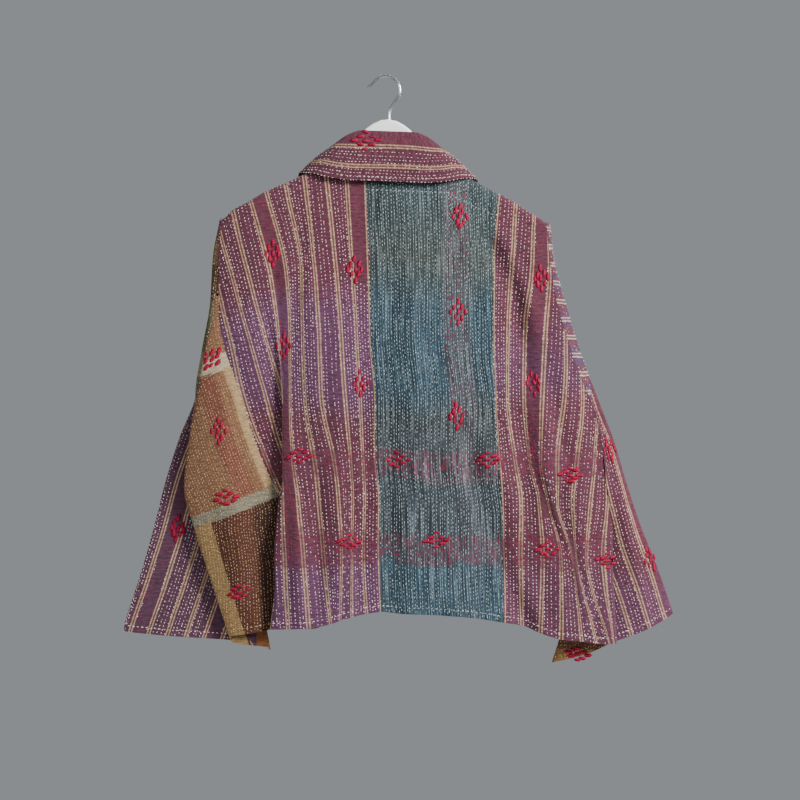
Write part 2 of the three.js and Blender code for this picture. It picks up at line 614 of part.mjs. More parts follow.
function hangerBody() {
  const round = 4;
  const plate = new THREE.ExtrudeGeometry(hangerOutline(), {
    depth: HANGER_THICK - 2 * round, bevelThickness: round, bevelSize: round, bevelOffset: -round,
    bevelSegments: 2, steps: 1,
  });
  plate.translate(0, 0, -(HANGER_THICK - 2 * round) / 2);
  plate.rotateX(Math.PI / 2);
  const bore = new THREE.CylinderGeometry(WIRE + SEAM_GAP, WIRE + SEAM_GAP, 40, 12);
  bore.rotateX(Math.PI / 2);
  bore.translate(STEM_X, 0, STEM_FOOT - SEAM_GAP + 20);
  return geometryOf(solidOf(plate).subtract(solidOf(bore)));
}

function hangerHook() {
  const { x: cx, z: cz } = HOOK_CENTRE;
  const route = [[STEM_X, STEM_FOOT], [STEM_X, -64], [STEM_X, -49], [8.5, -37]];
  for (let angle = -30; angle <= 150; angle += 20) {
    const a = (angle * Math.PI) / 180;
    route.push([cx + HOOK_RADIUS * Math.cos(a), cz + HOOK_RADIUS * Math.sin(a)]);
  }
  route.push([-30, -15]);
  const middle = route.map(([x, z]) => new THREE.Vector3(x, 0, z));
  const path = new THREE.CatmullRomCurve3(middle, false, 'centripetal');
  const wire = new THREE.Shape();
  wire.absarc(0, 0, WIRE, 0, 2 * Math.PI);
  return new THREE.ExtrudeGeometry(wire, {
    steps: 34, curveSegments: 5, bevelEnabled: false, extrudePath: path,
  });
}

const group = new THREE.Group();
const add = (name, geometry, color, roughness, metalness = 0) => {
  const mesh = new THREE.Mesh(geometry, new THREE.MeshStandardMaterial({ color, roughness, metalness }));
  mesh.name = name;
  group.add(mesh);
};

add('hanger_body', hangerBody(), 0xf2f2ee, 0.4);
add('hanger_hook', hangerHook(), 0xb8bcc0, 0.2, 1);

// Columns of points across each cloth, which also place the points next to a seam
const COLUMNS = {
  back: { left: 24, right: 14 }, centre: 12, front: { left: 12, right: 12 },
  striped: 15, brown: 11, rightSleeve: 12, wedge: 12,
};
const leftStriped = (u, row) => leftSleeve(mix(brownEdge(row), LEFT_ROUND, u), row);
const leftBrown = (u, row) => leftSleeve(mix(0, brownEdge(row), u), row);
const rightAround = (u, row) => rightSleeve(4 * u, row);
const wedge = (u, row) => rightWedge(4 * u, row);

// The point one column in from each edge of a sleeve, in its own cloth
const sleeveNear = {
  left: (row) => (row < BROWN_TOP_ROW
    ? leftStriped(1 / COLUMNS.striped, row)
    : leftBrown(1 / COLUMNS.brown, row)),
  right: (row) => rightAround(1 / COLUMNS.rightSleeve, row),
};
const sleeveFar = {
  left: (row) => leftStriped(1 - 1 / COLUMNS.striped, row),
  right: (row) => rightAround(1 - 1 / COLUMNS.rightSleeve, row),
};
const backNear = (side, row) => stripedBack(side, 1 - 1 / COLUMNS.back[side], row);
const frontNear = (side, row) => front(side, 1 / COLUMNS.front[side], row);
const joinsSleeve = (side, row) => row >= BEND_ROWS && stripedBack(side, 1, row).z > UNDERARM + 10;
const joinsBody = (side, row) => joinsSleeve(side, row + BEND_ROWS);
const nextToBack = (side) => (row) => {
  if (row < BEND_ROWS) return undefined;
  return joinsSleeve(side, row) ? sleeveNear[side](row - BEND_ROWS) : frontNear(side, row);
};
const nextToFront = (side) => (row) => {
  if (row < BEND_ROWS) return undefined;
  return joinsSleeve(side, row) ? sleeveFar[side](row - BEND_ROWS) : backNear(side, row);
};
const nextToSleeveStart = (side) => (row) => {
  if (joinsBody(side, row)) return backNear(side, row + BEND_ROWS);
  return side === 'left' ? sleeveFar.left(row) : wedge(1 / COLUMNS.wedge, row);
};
const nextToSleeveEnd = (side) => (row) => {
  if (joinsBody(side, row)) return frontNear(side, row + BEND_ROWS);
  return side === 'left' ? sleeveNear.left(row) : wedge(1 - 1 / COLUMNS.wedge, row);
};
const shifted = (by, options) => Object.fromEntries(Object.entries(options).map(([name, at]) =>
  [name, (row) => at(row + by)]));

const STEEP_GAP = 0.6; // where a cross seam turns sharply into the armhole
const PLUM = 0x7b4a62;
const PURPLE = 0x6b4560;
const BROWN = 0x9a6a48;
const DUSTY_ROSE = 0x8a566c;
const INDIGO = 0x48606b;
const OLIVE = 0x6f6a52;
const CLOTH_ROUGHNESS = 0.9;
const addCloth = (name, color, pointAt, columns, rows, options) =>
  add(name, clothWall(pointAt, columns, rows, options), color, CLOTH_ROUGHNESS);

addCloth('back_left', PLUM, (u, row) => stripedBack('left', u, row), COLUMNS.back.left, BODY_ROWS, {
  flip: true,
  before: (row) => centreBack(1 / COLUMNS.centre, row),
  after: nextToBack('left'),
});
addCloth('back_centre', INDIGO, centreBack, COLUMNS.centre, BODY_ROWS, {
  before: (row) => stripedBack('left', 1 / COLUMNS.back.left, row),
  after: (row) => stripedBack('right', 1 / COLUMNS.back.right, row),
});
addCloth('back_right', PLUM, (u, row) => stripedBack('right', u, row), COLUMNS.back.right, BODY_ROWS, {
  before: (row) => centreBack(1 - 1 / COLUMNS.centre, row),
  after: nextToBack('right'),
});
addCloth('front_left', PLUM, (u, row) => front('left', u, row), COLUMNS.front.left, BODY_ROWS, {
  before: nextToFront('left'),
});
addCloth('front_right', PLUM, (u, row) => front('right', u, row), COLUMNS.front.right, BODY_ROWS, {
  flip: true,
  before: nextToFront('right'),
});

const COLLAR_STEPS = 28;
addCloth('collar', DUSTY_ROSE, (u, j) => collarPoint(u, mix(-7, 7, j / COLLAR_STEPS)), 9, COLLAR_STEPS);

const besideStriped = (row) => (row < BROWN_TOP_ROW
  ? nextToSleeveStart('left')(row)
  : leftBrown(1 - 1 / COLUMNS.brown, row));
const besideBrown = (row) => leftStriped(1 / COLUMNS.striped, row);
addCloth('sleeve_left_head', OLIVE, leftStriped, COLUMNS.striped, HEAD_ROWS, {
  before: besideStriped,
  after: nextToSleeveEnd('left'),
  below: (u) => leftStriped(u, HEAD_ROWS + 1),
});
const LOWER_ROWS = SLEEVE_ROWS - HEAD_ROWS;
const leftLower = (u, row) => leftStriped(u, row + HEAD_ROWS);
addCloth('sleeve_left_striped', PURPLE, leftLower, COLUMNS.striped, LOWER_ROWS, {
  ...shifted(HEAD_ROWS, { before: besideStriped, after: nextToSleeveEnd('left') }),
  above: (u) => leftStriped(u, HEAD_ROWS - 1),
});
const BROWN_ROWS = SLEEVE_ROWS - BROWN_TOP_ROW;
const brownLower = (u, row) => leftBrown(u, row + BROWN_TOP_ROW);
addCloth('sleeve_left_brown', BROWN, brownLower, COLUMNS.brown, BROWN_ROWS, {
  ...shifted(BROWN_TOP_ROW, { before: nextToSleeveStart('left'), after: besideBrown }),
});

addCloth('sleeve_right_head', PLUM, rightAround, COLUMNS.rightSleeve, HEAD_ROWS, {
  flip: true,
  endGap: STEEP_GAP,
  before: nextToSleeveStart('right'),
  after: nextToSleeveEnd('right'),
  below: (u) => rightAround(u, HEAD_ROWS + 1),
});
const rightLower = (u, row) => rightAround(u, row + HEAD_ROWS);
addCloth('sleeve_right_striped', PURPLE, rightLower, COLUMNS.rightSleeve, LOWER_ROWS, {
  flip: true,
  endGap: STEEP_GAP,
  ...shifted(HEAD_ROWS, { before: nextToSleeveStart('right'), after: nextToSleeveEnd('right') }),
  above: (u) => rightAround(u, HEAD_ROWS - 1),
});
const WEDGE_ROWS = SLEEVE_ROWS - WEDGE_TOP_ROW;
const wedgeLower = (u, row) => wedge(u, row + WEDGE_TOP_ROW);
addCloth('sleeve_right_brown', BROWN, wedgeLower, COLUMNS.wedge, WEDGE_ROWS, {
  ...shifted(WEDGE_TOP_ROW, {
    before: (row) => rightAround(1 / COLUMNS.rightSleeve, row),
    after: (row) => rightAround(1 - 1 / COLUMNS.rightSleeve, row),
  }),
});

export default group;
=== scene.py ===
# %% [markdown]
# # Kantha jacket on a hanger
# A quilted cotton jacket hangs from a white hanger and is seen from its back. Its cloth
# could be sculpted, or draped by a simulation. Here each cut is a thin shell worked out from
# named sizes, so that it keeps the real cut and lies on its solid. Woven patterns, running
# stitches and small worked motifs follow. Sizes are in millimetres until a mesh is made.

# %% Load the frame
import json

import bpy
import numpy as np
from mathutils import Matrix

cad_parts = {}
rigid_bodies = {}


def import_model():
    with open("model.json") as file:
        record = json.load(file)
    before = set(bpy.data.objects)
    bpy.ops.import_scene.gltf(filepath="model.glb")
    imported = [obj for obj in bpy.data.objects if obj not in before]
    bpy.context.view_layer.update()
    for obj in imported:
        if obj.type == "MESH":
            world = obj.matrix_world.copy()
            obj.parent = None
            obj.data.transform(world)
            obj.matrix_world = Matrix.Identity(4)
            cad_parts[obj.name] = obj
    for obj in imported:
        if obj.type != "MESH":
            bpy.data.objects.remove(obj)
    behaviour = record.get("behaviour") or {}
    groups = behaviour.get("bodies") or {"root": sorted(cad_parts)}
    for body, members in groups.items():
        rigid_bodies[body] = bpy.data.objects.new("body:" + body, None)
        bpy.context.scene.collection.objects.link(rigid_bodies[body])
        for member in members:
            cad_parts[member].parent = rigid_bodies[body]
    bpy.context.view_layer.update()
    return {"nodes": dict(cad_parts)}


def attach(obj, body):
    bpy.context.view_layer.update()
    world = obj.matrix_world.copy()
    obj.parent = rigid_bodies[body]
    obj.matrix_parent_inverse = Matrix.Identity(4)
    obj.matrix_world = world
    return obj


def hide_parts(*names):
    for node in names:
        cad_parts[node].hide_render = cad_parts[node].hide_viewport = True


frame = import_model()

# %% [markdown]
# ## Sizes of the jacket
# A jacket is cut to a few sizes: the neck, the shoulder, the sleeve, the length. They could
# be typed in wherever they are used, but one list is easier to read and to correct. Names
# and values are those of the solids, so each shell lies on its solid.

# %% Driving sizes
WALL = 2.0  # layers of old cotton, stitched through
SEAM_GAP = 0.3  # between two cuts that are sewn together
BEND = 9  # radius of the cloth where it turns over the hanger's arms
TILT = 0.035  # the hanger's right arm hangs a little lower
NECK_HALF = 96  # centre line to the point where a shoulder meets the neck
NECK_TURN = 12  # width over which the neck's edge climbs on to the shoulder
NECK_BACK = -128  # height of the seam at the back of the neck
NECK_FRONT = -214  # height where the front edges begin
FRONT_HEM = -772  # height where they end
OPENING_HALF = 10  # half of the gap between the two fronts
BEND_ROWS = 4  # rows of points round the bend at a shoulder
SLEEVE_ROWS = 17  # rows of points down a sleeve, shared with the body below the bend
BODY_ROWS = BEND_ROWS + SLEEVE_ROWS
HEAD_ROWS = 7  # rows of a sleeve that belong to its upper patch
BROWN_TOP_ROW = 3  # row where the left sleeve's brown cloth begins
WEDGE_TOP_ROW = 12  # row where the right sleeve's brown wedge begins
UNDERARM = -620  # height where a sleeve leaves the body
SEAM_CLEAR = 1.2  # how far a sleeve's edge stays out from the body there
PINCH = 0.5  # half the distance between a sleeve's two edges under the arm
FOLD_ROUND = 2.2  # half the thickness of a folded edge
LEFT_ROUND = 13  # places round the left sleeve, from the back of the armhole to its front
print("wall:", WALL, "mm, rows of points down the body:", BODY_ROWS)

# %% Helpers for tables and curves
def table(columns, rows):
    """A table with named columns, a row for each section of the cloth."""
    return {name: np.array([row[i] for row in rows], float) for i, name in enumerate(columns.split())}


def curve(knots, values, at):
    """Smooth curve through the values at the knots, never beyond them."""
    at = np.asarray(at, float)
    spread = lambda items: np.stack([np.broadcast_to(np.asarray(item, float), at.shape) for item in items])
    k, v = spread(knots), spread(values)
    gap = np.diff(k, axis=0)
    slope = np.diff(v, axis=0) / gap
    a, b, before, after = slope[:-1], slope[1:], gap[:-1], gap[1:]
    with np.errstate(divide="ignore", invalid="ignore"):
        inner = 3 * (before + after) / ((2 * after + before) / a + (after + 2 * before) / b)
    tangent = np.concatenate([slope[:1], np.where(a * b > 0, inner, 0), slope[-1:]])
    rising = np.sign(k[-1] - k[0])
    i = ((at - k[1:-1]) * rising > 0).sum(axis=0)
    held = lambda array, shift=0: np.take_along_axis(array, (i + shift)[None], axis=0)[0]
    span = held(gap)
    t = (at - held(k)) / span
    v0, v1, m0, m1 = held(v), held(v, 1), held(tangent), held(tangent, 1)
    c = np.clip(t, 0, 1)
    inside = ((1 + 2 * c) * (1 - c) ** 2 * v0 + c * (1 - c) ** 2 * span * m0
              + c * c * (3 - 2 * c) * v1 + c * c * (c - 1) * span * m1)
    return inside + np.where(t < 0, m0 * t * span, 0) + np.where(t > 1, m1 * (t - 1) * span, 0)


def read(rows, key, name, at):
    """One column of a table, read at places along its key column."""
    return curve(rows[key], rows[name], at)


print("halfway between three rows:", float(curve([0, 1, 2], [0, 4, 5], 0.5)))

# %% Helpers for values and points
def mix(a, b, t):
    """The value at share t of the way from a to b."""
    return a + (b - a) * t


def ease(start, end, at):
    """A soft step from 0 at start to 1 at end."""
    t = np.clip((at - start) / (end - start), 0, 1)
    return t * t * (3 - 2 * t)


def point(x, y, z):
    """Points from their three coordinates."""
    return np.stack(np.broadcast_arrays(x, y, z), axis=-1).astype(float)


def unit(vectors):
    """The same directions, one long."""
    return vectors / np.maximum(1e-9, np.linalg.norm(vectors, axis=-1, keepdims=True))


def pick(mask, yes, no):
    """Points from one set where the mask holds, else from the other."""
    return np.where(mask[..., None], yes, no)


print("a soft step at a quarter:", round(float(ease(0, 1, 0.25)), 3))

# %% [markdown]
# ## Tables of the cloth
# The long lines of the cloth are its stripes, s0 to s9 from the centre seam outwards. A
# surface could be pulled by hand in edit mode; a table of where each stripe hangs at each
# height is shorter, and a fold is then a depth in the same rows. The column s6h lies halfway
# from s6 to s7.

# %% Tables of the backs
# Height of the shoulder's ridge across the body
SHOULDER = table("x z", [
    [80, -121], [90, -127], [130, -151], [180, -175], [204, -190], [229, -205], [241, -220]])
# How far back the cloth hangs at each height
BACK_DEPTH = table("z y", [
    [-120, -9], [-170, -11], [-280, -15], [-380, -19], [-470, -23], [-560, -26], [-620, -28], [-700, -30],
    [-810, -32]])
# Each back: where its stripes hang across the body, and the stripe that ends at its side
LINES = {
    "left": table("z s0 s1 s2 s3 s4 s5 s6 s6h s7 s7h s8 s9 edge", [
        [-170, -32, -60, -88, -119, -147, -178, -205, -219, -234, -248, -262, -284, 7],
        [-280, -27, -52, -76, -107, -126, -149, -174, -190, -206, -218, -230, -254, 8.7],
        [-380, -25, -46, -68, -100, -124, -143, -160, -170, -180, -192, -203, -231, 9.4],
        [-470, -18, -41, -62, -96, -120, -142, -154, -142, -154, -166, -178, -210, 9.12],
        [-560, -17, -36, -54, -78, -107, -138, -152, -145, -132, -138, -151, -177, 9.25],
        [-620, -12, -34, -51, -71, -100, -130, -152, -158, -145, -132, -124, -151, 9.1],
        [-700, -12, -35, -52, -67, -93, -123, -150, -164, -157, -144, -131, -104, 9.3],
        [-810, -9, -29, -52, -69, -81, -114, -144, -158, -171, -158, -145, -119, 9.3]]),
    "right": table("z s0 s1 s2 s3 s4 s5 s6 s7 s7h s8 edge", [
        [-170, 161, 188, 215, 232, 252, 272, 292, 312, 322, 332, 2.7],
        [-280, 153, 180, 209, 235, 256, 276, 296, 316, 326, 336, 3.1],
        [-380, 152, 174, 200, 229, 259, 279, 299, 319, 329, 339, 4],
        [-470, 155, 173, 198, 223, 255, 282, 305, 322, 332, 342, 5.43],
        [-560, 160, 184, 206, 221, 245, 274, 300, 318, 328, 338, 6.78],
        [-620, 165, 193, 219, 232, 245, 267, 293, 318, 326, 330, 7.06],
        [-700, 167, 192, 223, 249, 266, 272, 286, 310, 325, 321, 7.9],
        [-810, 167, 195, 221, 251, 279, 298, 316, 324, 330, 320, 7.8]]),
}
# Each back's deep folds: how far in the cloth lies at a stripe and a height
FOLDS = {
    "left": table("z s5 s6 s6h s7 s7h s8 s9", [
        [-170, 0, 0, 0, 0, 0, 0, 2], [-280, 0, 0, 0, 0, 0, 0, 3], [-380, 0, 1, 6, 5, 3, 2, 4],
        [-470, 0, 1, 7, 12, 11, 10, 12], [-560, 0, 0, 6, 8, 12, 14, 15], [-620, 0, 0, 6, 8, 11, 14.5, 16],
        [-700, 0, 0, 2, 6.5, 8, 9, 10], [-810, 0, 0, 0, 3.5, 6.5, 7, 8]]),
    "right": table("z s2 s3 s4 s5 s6 s7 s7h s8", [
        [-170, 0, 1, 3, 3, 3, 3, 3, 3], [-280, 0, 2, 3, 3, 3, 3, 3, 3], [-380, 0, 1, 3, 4, 4, 4, 4, 4],
        [-470, 0, 0, 1, 3, 5, 5, 5, 5], [-560, 0, 3, 0, 1, 3, 6, 8, 9], [-620, 0, 4, 2, 0, 3, 10, 12, 13],
        [-700, 0, 1, 4, 1, 0, 2, 5, 10], [-810, 0, 0, 1, 3, 0, 2, 6, 10]]),
}
# Soft folds: stripe, drift, top, foot, width in stripes, rise
SOFT_FOLDS = {
    "left": [(1.3, 0.5, -300, -800, 0.8, 3), (3.6, -0.3, -250, -740, 0.7, 3.5),
             (5, 0.3, -420, -830, 0.6, 3)],
    "right": [(1.4, 0.3, -230, -600, 0.6, -4), (1.0, 0.6, -540, -830, 0.7, -5),
              (2.2, 2.6, -430, -800, 0.6, 4), (4.4, -1.2, -330, -620, 0.8, 4)],
    "centre": [(0.16, 0.03, -260, -800, 0.07, 3), (0.42, -0.02, -200, -620, 0.09, 3),
               (0.66, 0.06, -430, -830, 0.07, 3.5), (0.9, 0.02, -330, -820, 0.06, 2.5)],
}
print("heights in each back's table:", {side: len(rows["z"]) for side, rows in LINES.items()})

# %% Tables of the hems and the fronts
# Height of the hem across each back
HEM = {
    "left": table("s z", [
        [0, -779], [1, -782], [2, -787], [3, -792], [4, -797], [5, -803], [7, -805], [9.3, -805]]),
    "right": table("s z", [[0, -795], [1, -800], [2, -810], [3, -819], [4, -822], [5.5, -826], [9, -826]]),
    "centre": table("u z", [[0, -779], [0.15, -782], [0.5, -784.5], [0.75, -788], [1, -795]]),
}
# Depth of each front at its side and in its middle, and how its width is shared out
FRONT_EDGE = {
    "left": table("z y", [
        [-209, 9], [-280, 10], [-380, 9], [-470, 5], [-560, -4], [-620, -9.2], [-640, -11.2],
        [-660, -13.2], [-680, -16.4], [-700, -19.2], [-810, -23.6]]),
    "right": table("z y", [
        [-217, 9], [-280, 10], [-380, 9.5], [-470, 7.5], [-560, -3], [-620, -14.6], [-660, -16.6],
        [-700, -18], [-810, -20]]),
}
FRONT_MIDDLE = table("z y", [
    [-200, 11], [-280, 13], [-380, 13], [-470, 12], [-620, 8], [-700, 5], [-810, 2]])
FRONT_ACROSS = table("u share", [
    [0, 0], [6 / 12, 0.6], [7 / 12, 0.626], [8 / 12, 0.652], [9 / 12, 0.68], [1, 1]])

print("lowest point of the back's hem:", HEM["right"]["z"].min())

# %% Tables of the sleeves and the collar
# Sections of the left sleeve: its crest, its lobe, the turn under it, its outer fold, its far side
LEFT_SLEEVE = table("z crestX crestY lobeX lobeY turnX turnY outX outY farX farY", [
    [-217, -244, -8, -246, -5, -247, -1, -247, 3, -246, 7],
    [-262, -250, -10, -253, -7, -255, -3, -255.5, 2, -253, 8],
    [-330, -254, -12, -257, -9, -259, -4, -259, 3, -253, 9],
    [-400, -250, -17, -266, -12, -271, -6, -272, 3, -255, 11],
    [-462, -245, -21, -277, -13, -280, -6, -280, 4, -250, 13],
    [-530, -240, -24, -289, -14, -268, -6, -306, 5, -250, 14],
    [-600, -235, -25, -296, -15, -240, -5, -328, 6, -245, 15],
    [-660, -225, -25, -281, -15, -215, -4, -343, 6, -240, 15],
    [-720, -212, -23, -262, -14, -195, -3, -360, 6, -240, 15],
    [-800, -200, -21, -236, -13, -180, -2, -386, 6, -250, 15]])
LEFT_UNDERARM = table("z x y", [
    [-640, -157, -9], [-660, -152, -7], [-700, -146, -4], [-720, -143.5, -2], [-805, -141, 0]])

# Height of the cuff at each place round the sleeve, and where the brown cloth ends
LEFT_SLEEVE_HEM = table("i z", [
    [0, -805], [1, -807], [2, -812], [4, -821], [5.5, -831], [7, -838], [8.5, -821], [10, -797], [12, -812],
    [13, -805]])
BROWN_EDGE = table("row at", [[2, 1], [3, 1.6], [4.6, 2.6], [5.5, 3.4], [7, 5.5], [17, 5.5]])

# Sections of the right sleeve, and of the wedge under it
RIGHT_SLEEVE = table("z midX midY outX outY farX farY", [
    [-226, 235.5, -6.5, 237.5, 0, 235.5, 6.5],
    [-262, 239.5, -9, 241.5, 0, 239, 8],
    [-330, 254, -10, 259, 0, 253, 9],
    [-400, 274, -10, 280, 0, 272, 10],
    [-478, 302, -10, 309, 0, 302, 9.5],
    [-530, 320, -11, 329, 0, 318, 10],
    [-600, 336, -13, 350, -1, 334, 8],
    [-660, 347, -14, 370, -2, 345, 8],
    [-720, 360, -14, 394, -2, 358, 10],
    [-790, 372, -13, 418, -2, 370, 11]])
RIGHT_UNDERARM = table("z nearX nearY foldX foldY farX farY", [
    [-640, 323, -11.5, 321.5, -8.5, 323, -5.5],
    [-700, 322, -11, 297, -3, 325, 3],
    [-760, 325, -11, 272, 0, 330, 8],
    [-840, 328, -10, 246, 0, 336, 9]])
RIGHT_SLEEVE_HEM = table("i z", [[0, -826], [1, -808], [2, -785], [3, -808], [4, -826]])
RIGHT_BROWN_HEM = table("i z", [[0, -826], [1, -845], [2, -857], [3, -845], [4, -826]])

# Sections of the collar from the middle of the back round to a front end
COLLAR = table("t neckX neckY neckZ rollX rollY rollZ outX outY outZ lift", [
    [0, 0, -10, -127.5, 0, -14, -81, 0, -20, -155, 3],
    [1, 34, -10, -127.5, 36, -14, -81, 48, -20, -155, 3],
    [2, 62, -10, -127.5, 56, -12, -87, 84, -19, -152, 3],
    [3, 85, -9.5, -125, 74, -7, -101, 112, -13, -146, 3],
    [4, 96, 1.5, -127, 84, 3, -111, 130, 2.5, -145, 3],
    [4.5, 94, 12, -130, 84, 11, -119, 132, 11.5, -151, 2.5],
    [5, 86, 13, -144, 82, 16, -133, 132, 17, -172, 2],
    [6, 62, 15.5, -174, 62, 19, -166, 118, 20, -212, 2],
    [7, 30, 17, -203, 32, 20.5, -200, 84, 22, -244, 2]])
print("sections round the collar:", len(COLLAR["t"]))

# %% [markdown]
# ## Surfaces
# A cut of cloth is flat until it hangs. Each function here gives where the middle of its wall
# hangs, at a place u across the cut and a row down it, from the neck or shoulder to the hem.
# Curves through the tables could be lofted by a modifier, but a function also tells a
# neighbour where the seam runs, so that two cuts meet.

# %% Shoulders and stripes
def ridge(x):
    """Height of the shoulder's ridge over the hanger's arm."""
    return read(SHOULDER, "x", "z", abs(x)) - TILT * x


def on_ridge(x):
    """0 inside the neck and 1 on the shoulder."""
    return ease(NECK_HALF - NECK_TURN, NECK_HALF, abs(x))


def top_height(x):
    """Height of the cloth's top edge, at the neck or on the shoulder."""
    return mix(NECK_BACK + BEND - TILT * x, ridge(x), on_ridge(x))


def stripes_in(rows):
    """The columns of a table that are stripes, and the place of each."""
    return {name: int(name[1:].strip("h")) + 0.5 * name.endswith("h") for name in rows if name[0] == "s"}


def across(rows, s, z):
    """A table's value at stripe s and height z."""
    places = stripes_in(rows)
    return curve(list(places.values()), [read(rows, "z", name, z) for name in places], s)


def stripe_x(side, s, z):
    """How far across the body a stripe hangs."""
    return across(LINES[side], s, z)


def edge_stripe(side, z):
    """The stripe that ends at the side of the body."""
    return read(LINES[side], "z", "edge", z)


def soft_folds(name, s, z):
    """Depth of the shallow folds of one back."""
    total = 0
    for start, drift, top, foot, width, rise in SOFT_FOLDS[name]:
        down = (z - top) / (foot - top)
        fade = ease(0, 0.25, down) * (1 - ease(0.85, 1.2, down))
        total = total - rise * fade * np.exp(-((s - start - drift * down) / width) ** 2)
    return total


print("stripes across the left back at the hem:", round(float(edge_stripe("left", -810)), 1))

# %% How a row hangs
def hang(row, top, hem, ridged):
    """Height and turn of each row: round the shoulder's bend first, then down to the hem."""
    bent = np.minimum(1, row / BEND_ROWS)
    angle = np.pi / 2 * mix(1 - ridged, 1, bent)
    foot = top - BEND * (2 - ridged)
    turning = top - BEND * (1 - np.cos(angle)) - BEND * (1 - ridged) * bent
    z = np.where(row <= BEND_ROWS, turning, mix(foot, hem, (row - BEND_ROWS) / SLEEVE_ROWS))
    return z, angle, ease(0, 60, foot - z)


def hanging_depth(z, angle, settle):
    """How far back the cloth hangs from the hanger's middle."""
    return -BEND * np.sin(angle) + (read(BACK_DEPTH, "z", "y", z) + BEND) * settle


print("height of the shoulder's end:", round(float(ridge(229.0)), 1))

# %% Surfaces of the back
def striped_back(side, u, row):
    """The left or right back, u from the centre seam to the side."""
    u, row = np.broadcast_arrays(np.asarray(u, float), np.asarray(row, float))
    top = np.full(u.shape, float(NECK_BACK))
    for _ in range(5):
        x = stripe_x(side, u * edge_stripe(side, top), top)
        top = np.maximum(-209 if side == "left" else -217, top_height(x))
    x = stripe_x(side, u * edge_stripe(side, top), top)
    hem = read(HEM[side], "s", "z", u * edge_stripe(side, np.full(u.shape, -810.0)))
    z, angle, settle = hang(row, top, hem, on_ridge(x))
    s = u * edge_stripe(side, z)
    first = min(stripes_in(FOLDS[side]).values())
    turned = np.where(s > first, across(FOLDS[side], s, z), 0)
    y = hanging_depth(z, angle, settle) + (turned + soft_folds(side, s, z)) * settle
    return point(stripe_x(side, s, z), y, z)


def centre_back(u, row):
    """The centre back, u from its left seam to its right one."""
    u, row = np.broadcast_arrays(np.asarray(u, float), np.asarray(row, float))
    zero = np.zeros(u.shape)
    left, right = striped_back("left", zero, row), striped_back("right", zero, row)
    tops = striped_back("left", zero, zero)[..., 0], striped_back("right", zero, zero)[..., 0]
    ridged = on_ridge(mix(left[..., 0], right[..., 0], u)) * ease(0.4, 1, u)
    z, angle, settle = hang(row, top_height(mix(*tops, u)), read(HEM["centre"], "u", "z", u), ridged)
    x = mix(stripe_x("left", zero, z), stripe_x("right", zero, z), u)
    puckers = soft_folds("centre", u, z) * np.sin(np.pi * np.clip(u, 0, 1))
    seams = mix(soft_folds("left", 0, left[..., 2]), soft_folds("right", 0, right[..., 2]), u)
    return point(x, hanging_depth(z, angle, settle) + (puckers + seams) * settle, z)


print("middle of the centre back:", centre_back(0.5, 12).round(1))

# %% Surfaces of the fronts
def front(side, u, row):
    """A front, u from the side to the opening."""
    u, row = np.broadcast_arrays(np.asarray(u, float), np.asarray(row, float))
    sign = -1 if side == "left" else 1
    one = np.ones(u.shape)
    edge_top = striped_back(side, one, 0 * one)
    inwards = read(FRONT_ACROSS, "u", "share", u)
    top_x = mix(edge_top[..., 0], sign * OPENING_HALF, inwards)
    neck = NECK_HALF - NECK_TURN
    into_neck = np.maximum(0, (neck - abs(top_x)) / (neck - OPENING_HALF))
    shoulder = np.maximum(edge_top[..., 2], ridge(np.maximum(neck, abs(top_x)) * sign))
    top = mix(shoulder, NECK_FRONT + BEND, into_neck ** 0.85)
    hem = mix(striped_back(side, one, BODY_ROWS * one)[..., 2], FRONT_HEM, ease(0, 0.5, u))
    z, angle, settle = hang(row, top, hem, on_ridge(top_x))
    x = mix(striped_back(side, one, row)[..., 0], sign * OPENING_HALF, inwards)
    edge_y = read(FRONT_EDGE[side], "z", "y", z)
    middle_y = read(FRONT_MIDDLE, "z", "y", z)
    wave = 3 * np.sin(u * 9 + z / 130) * ease(0, 0.3, u) * (1 - ease(0.75, 1, u))
    return point(x, mix(BEND * np.sin(angle), mix(edge_y, middle_y, ease(0, 0.55, u)) + wave, settle), z)


print("left front, middle of its edge:", front("left", 1, 12).round(1))

# %% Sections of a sleeve
def section_point(points, index):
    """Place on a smooth section through points; whole indices fall on the points."""
    xs, ys = [p[0] for p in points], [p[1] for p in points]
    xs, ys = [np.broadcast_to(x, index.shape) for x in xs], [np.broadcast_to(y, index.shape) for y in ys]
    steps = [np.hypot(xs[i + 1] - xs[i], ys[i + 1] - ys[i]) for i in range(len(xs) - 1)]
    lengths = np.concatenate([np.zeros((1,) + index.shape), np.cumsum(steps, axis=0)])
    whole = np.clip(np.floor(index), 0, len(points) - 2).astype(int)
    start = np.take_along_axis(lengths, whole[None], axis=0)[0]
    end = np.take_along_axis(lengths, whole[None] + 1, axis=0)[0]
    at = mix(start, end, index - whole)
    return curve(lengths, xs, at), curve(lengths, ys, at)


def sleeve_edge(side, faces, row, z, free):
    """A sleeve's edge: on the armhole's seam above the underarm, free below it."""
    one = np.ones(row.shape)
    body = row + BEND_ROWS
    seam = striped_back(side, one, body) if faces == "back" else front(side, 0 * one, body)
    t = ease(UNDERARM + 10, UNDERARM - 40, z)
    clear = (-1 if side == "left" else 1) * SEAM_CLEAR * ease(UNDERARM + 45, UNDERARM + 10, z) * (1 - t)
    return mix(seam[..., 0], free[0], t) + clear, mix(seam[..., 1], free[1], t)


def sleeve_height(side, index, row, hem, places):
    """Height of a row, from the shoulder's end to the cuff."""
    one = np.ones(row.shape)
    top = striped_back(side, one, BEND_ROWS * one)[..., 2] + BEND * np.sin(np.pi * index / places)
    return mix(top, read(hem, "i", "z", index), row / SLEEVE_ROWS)


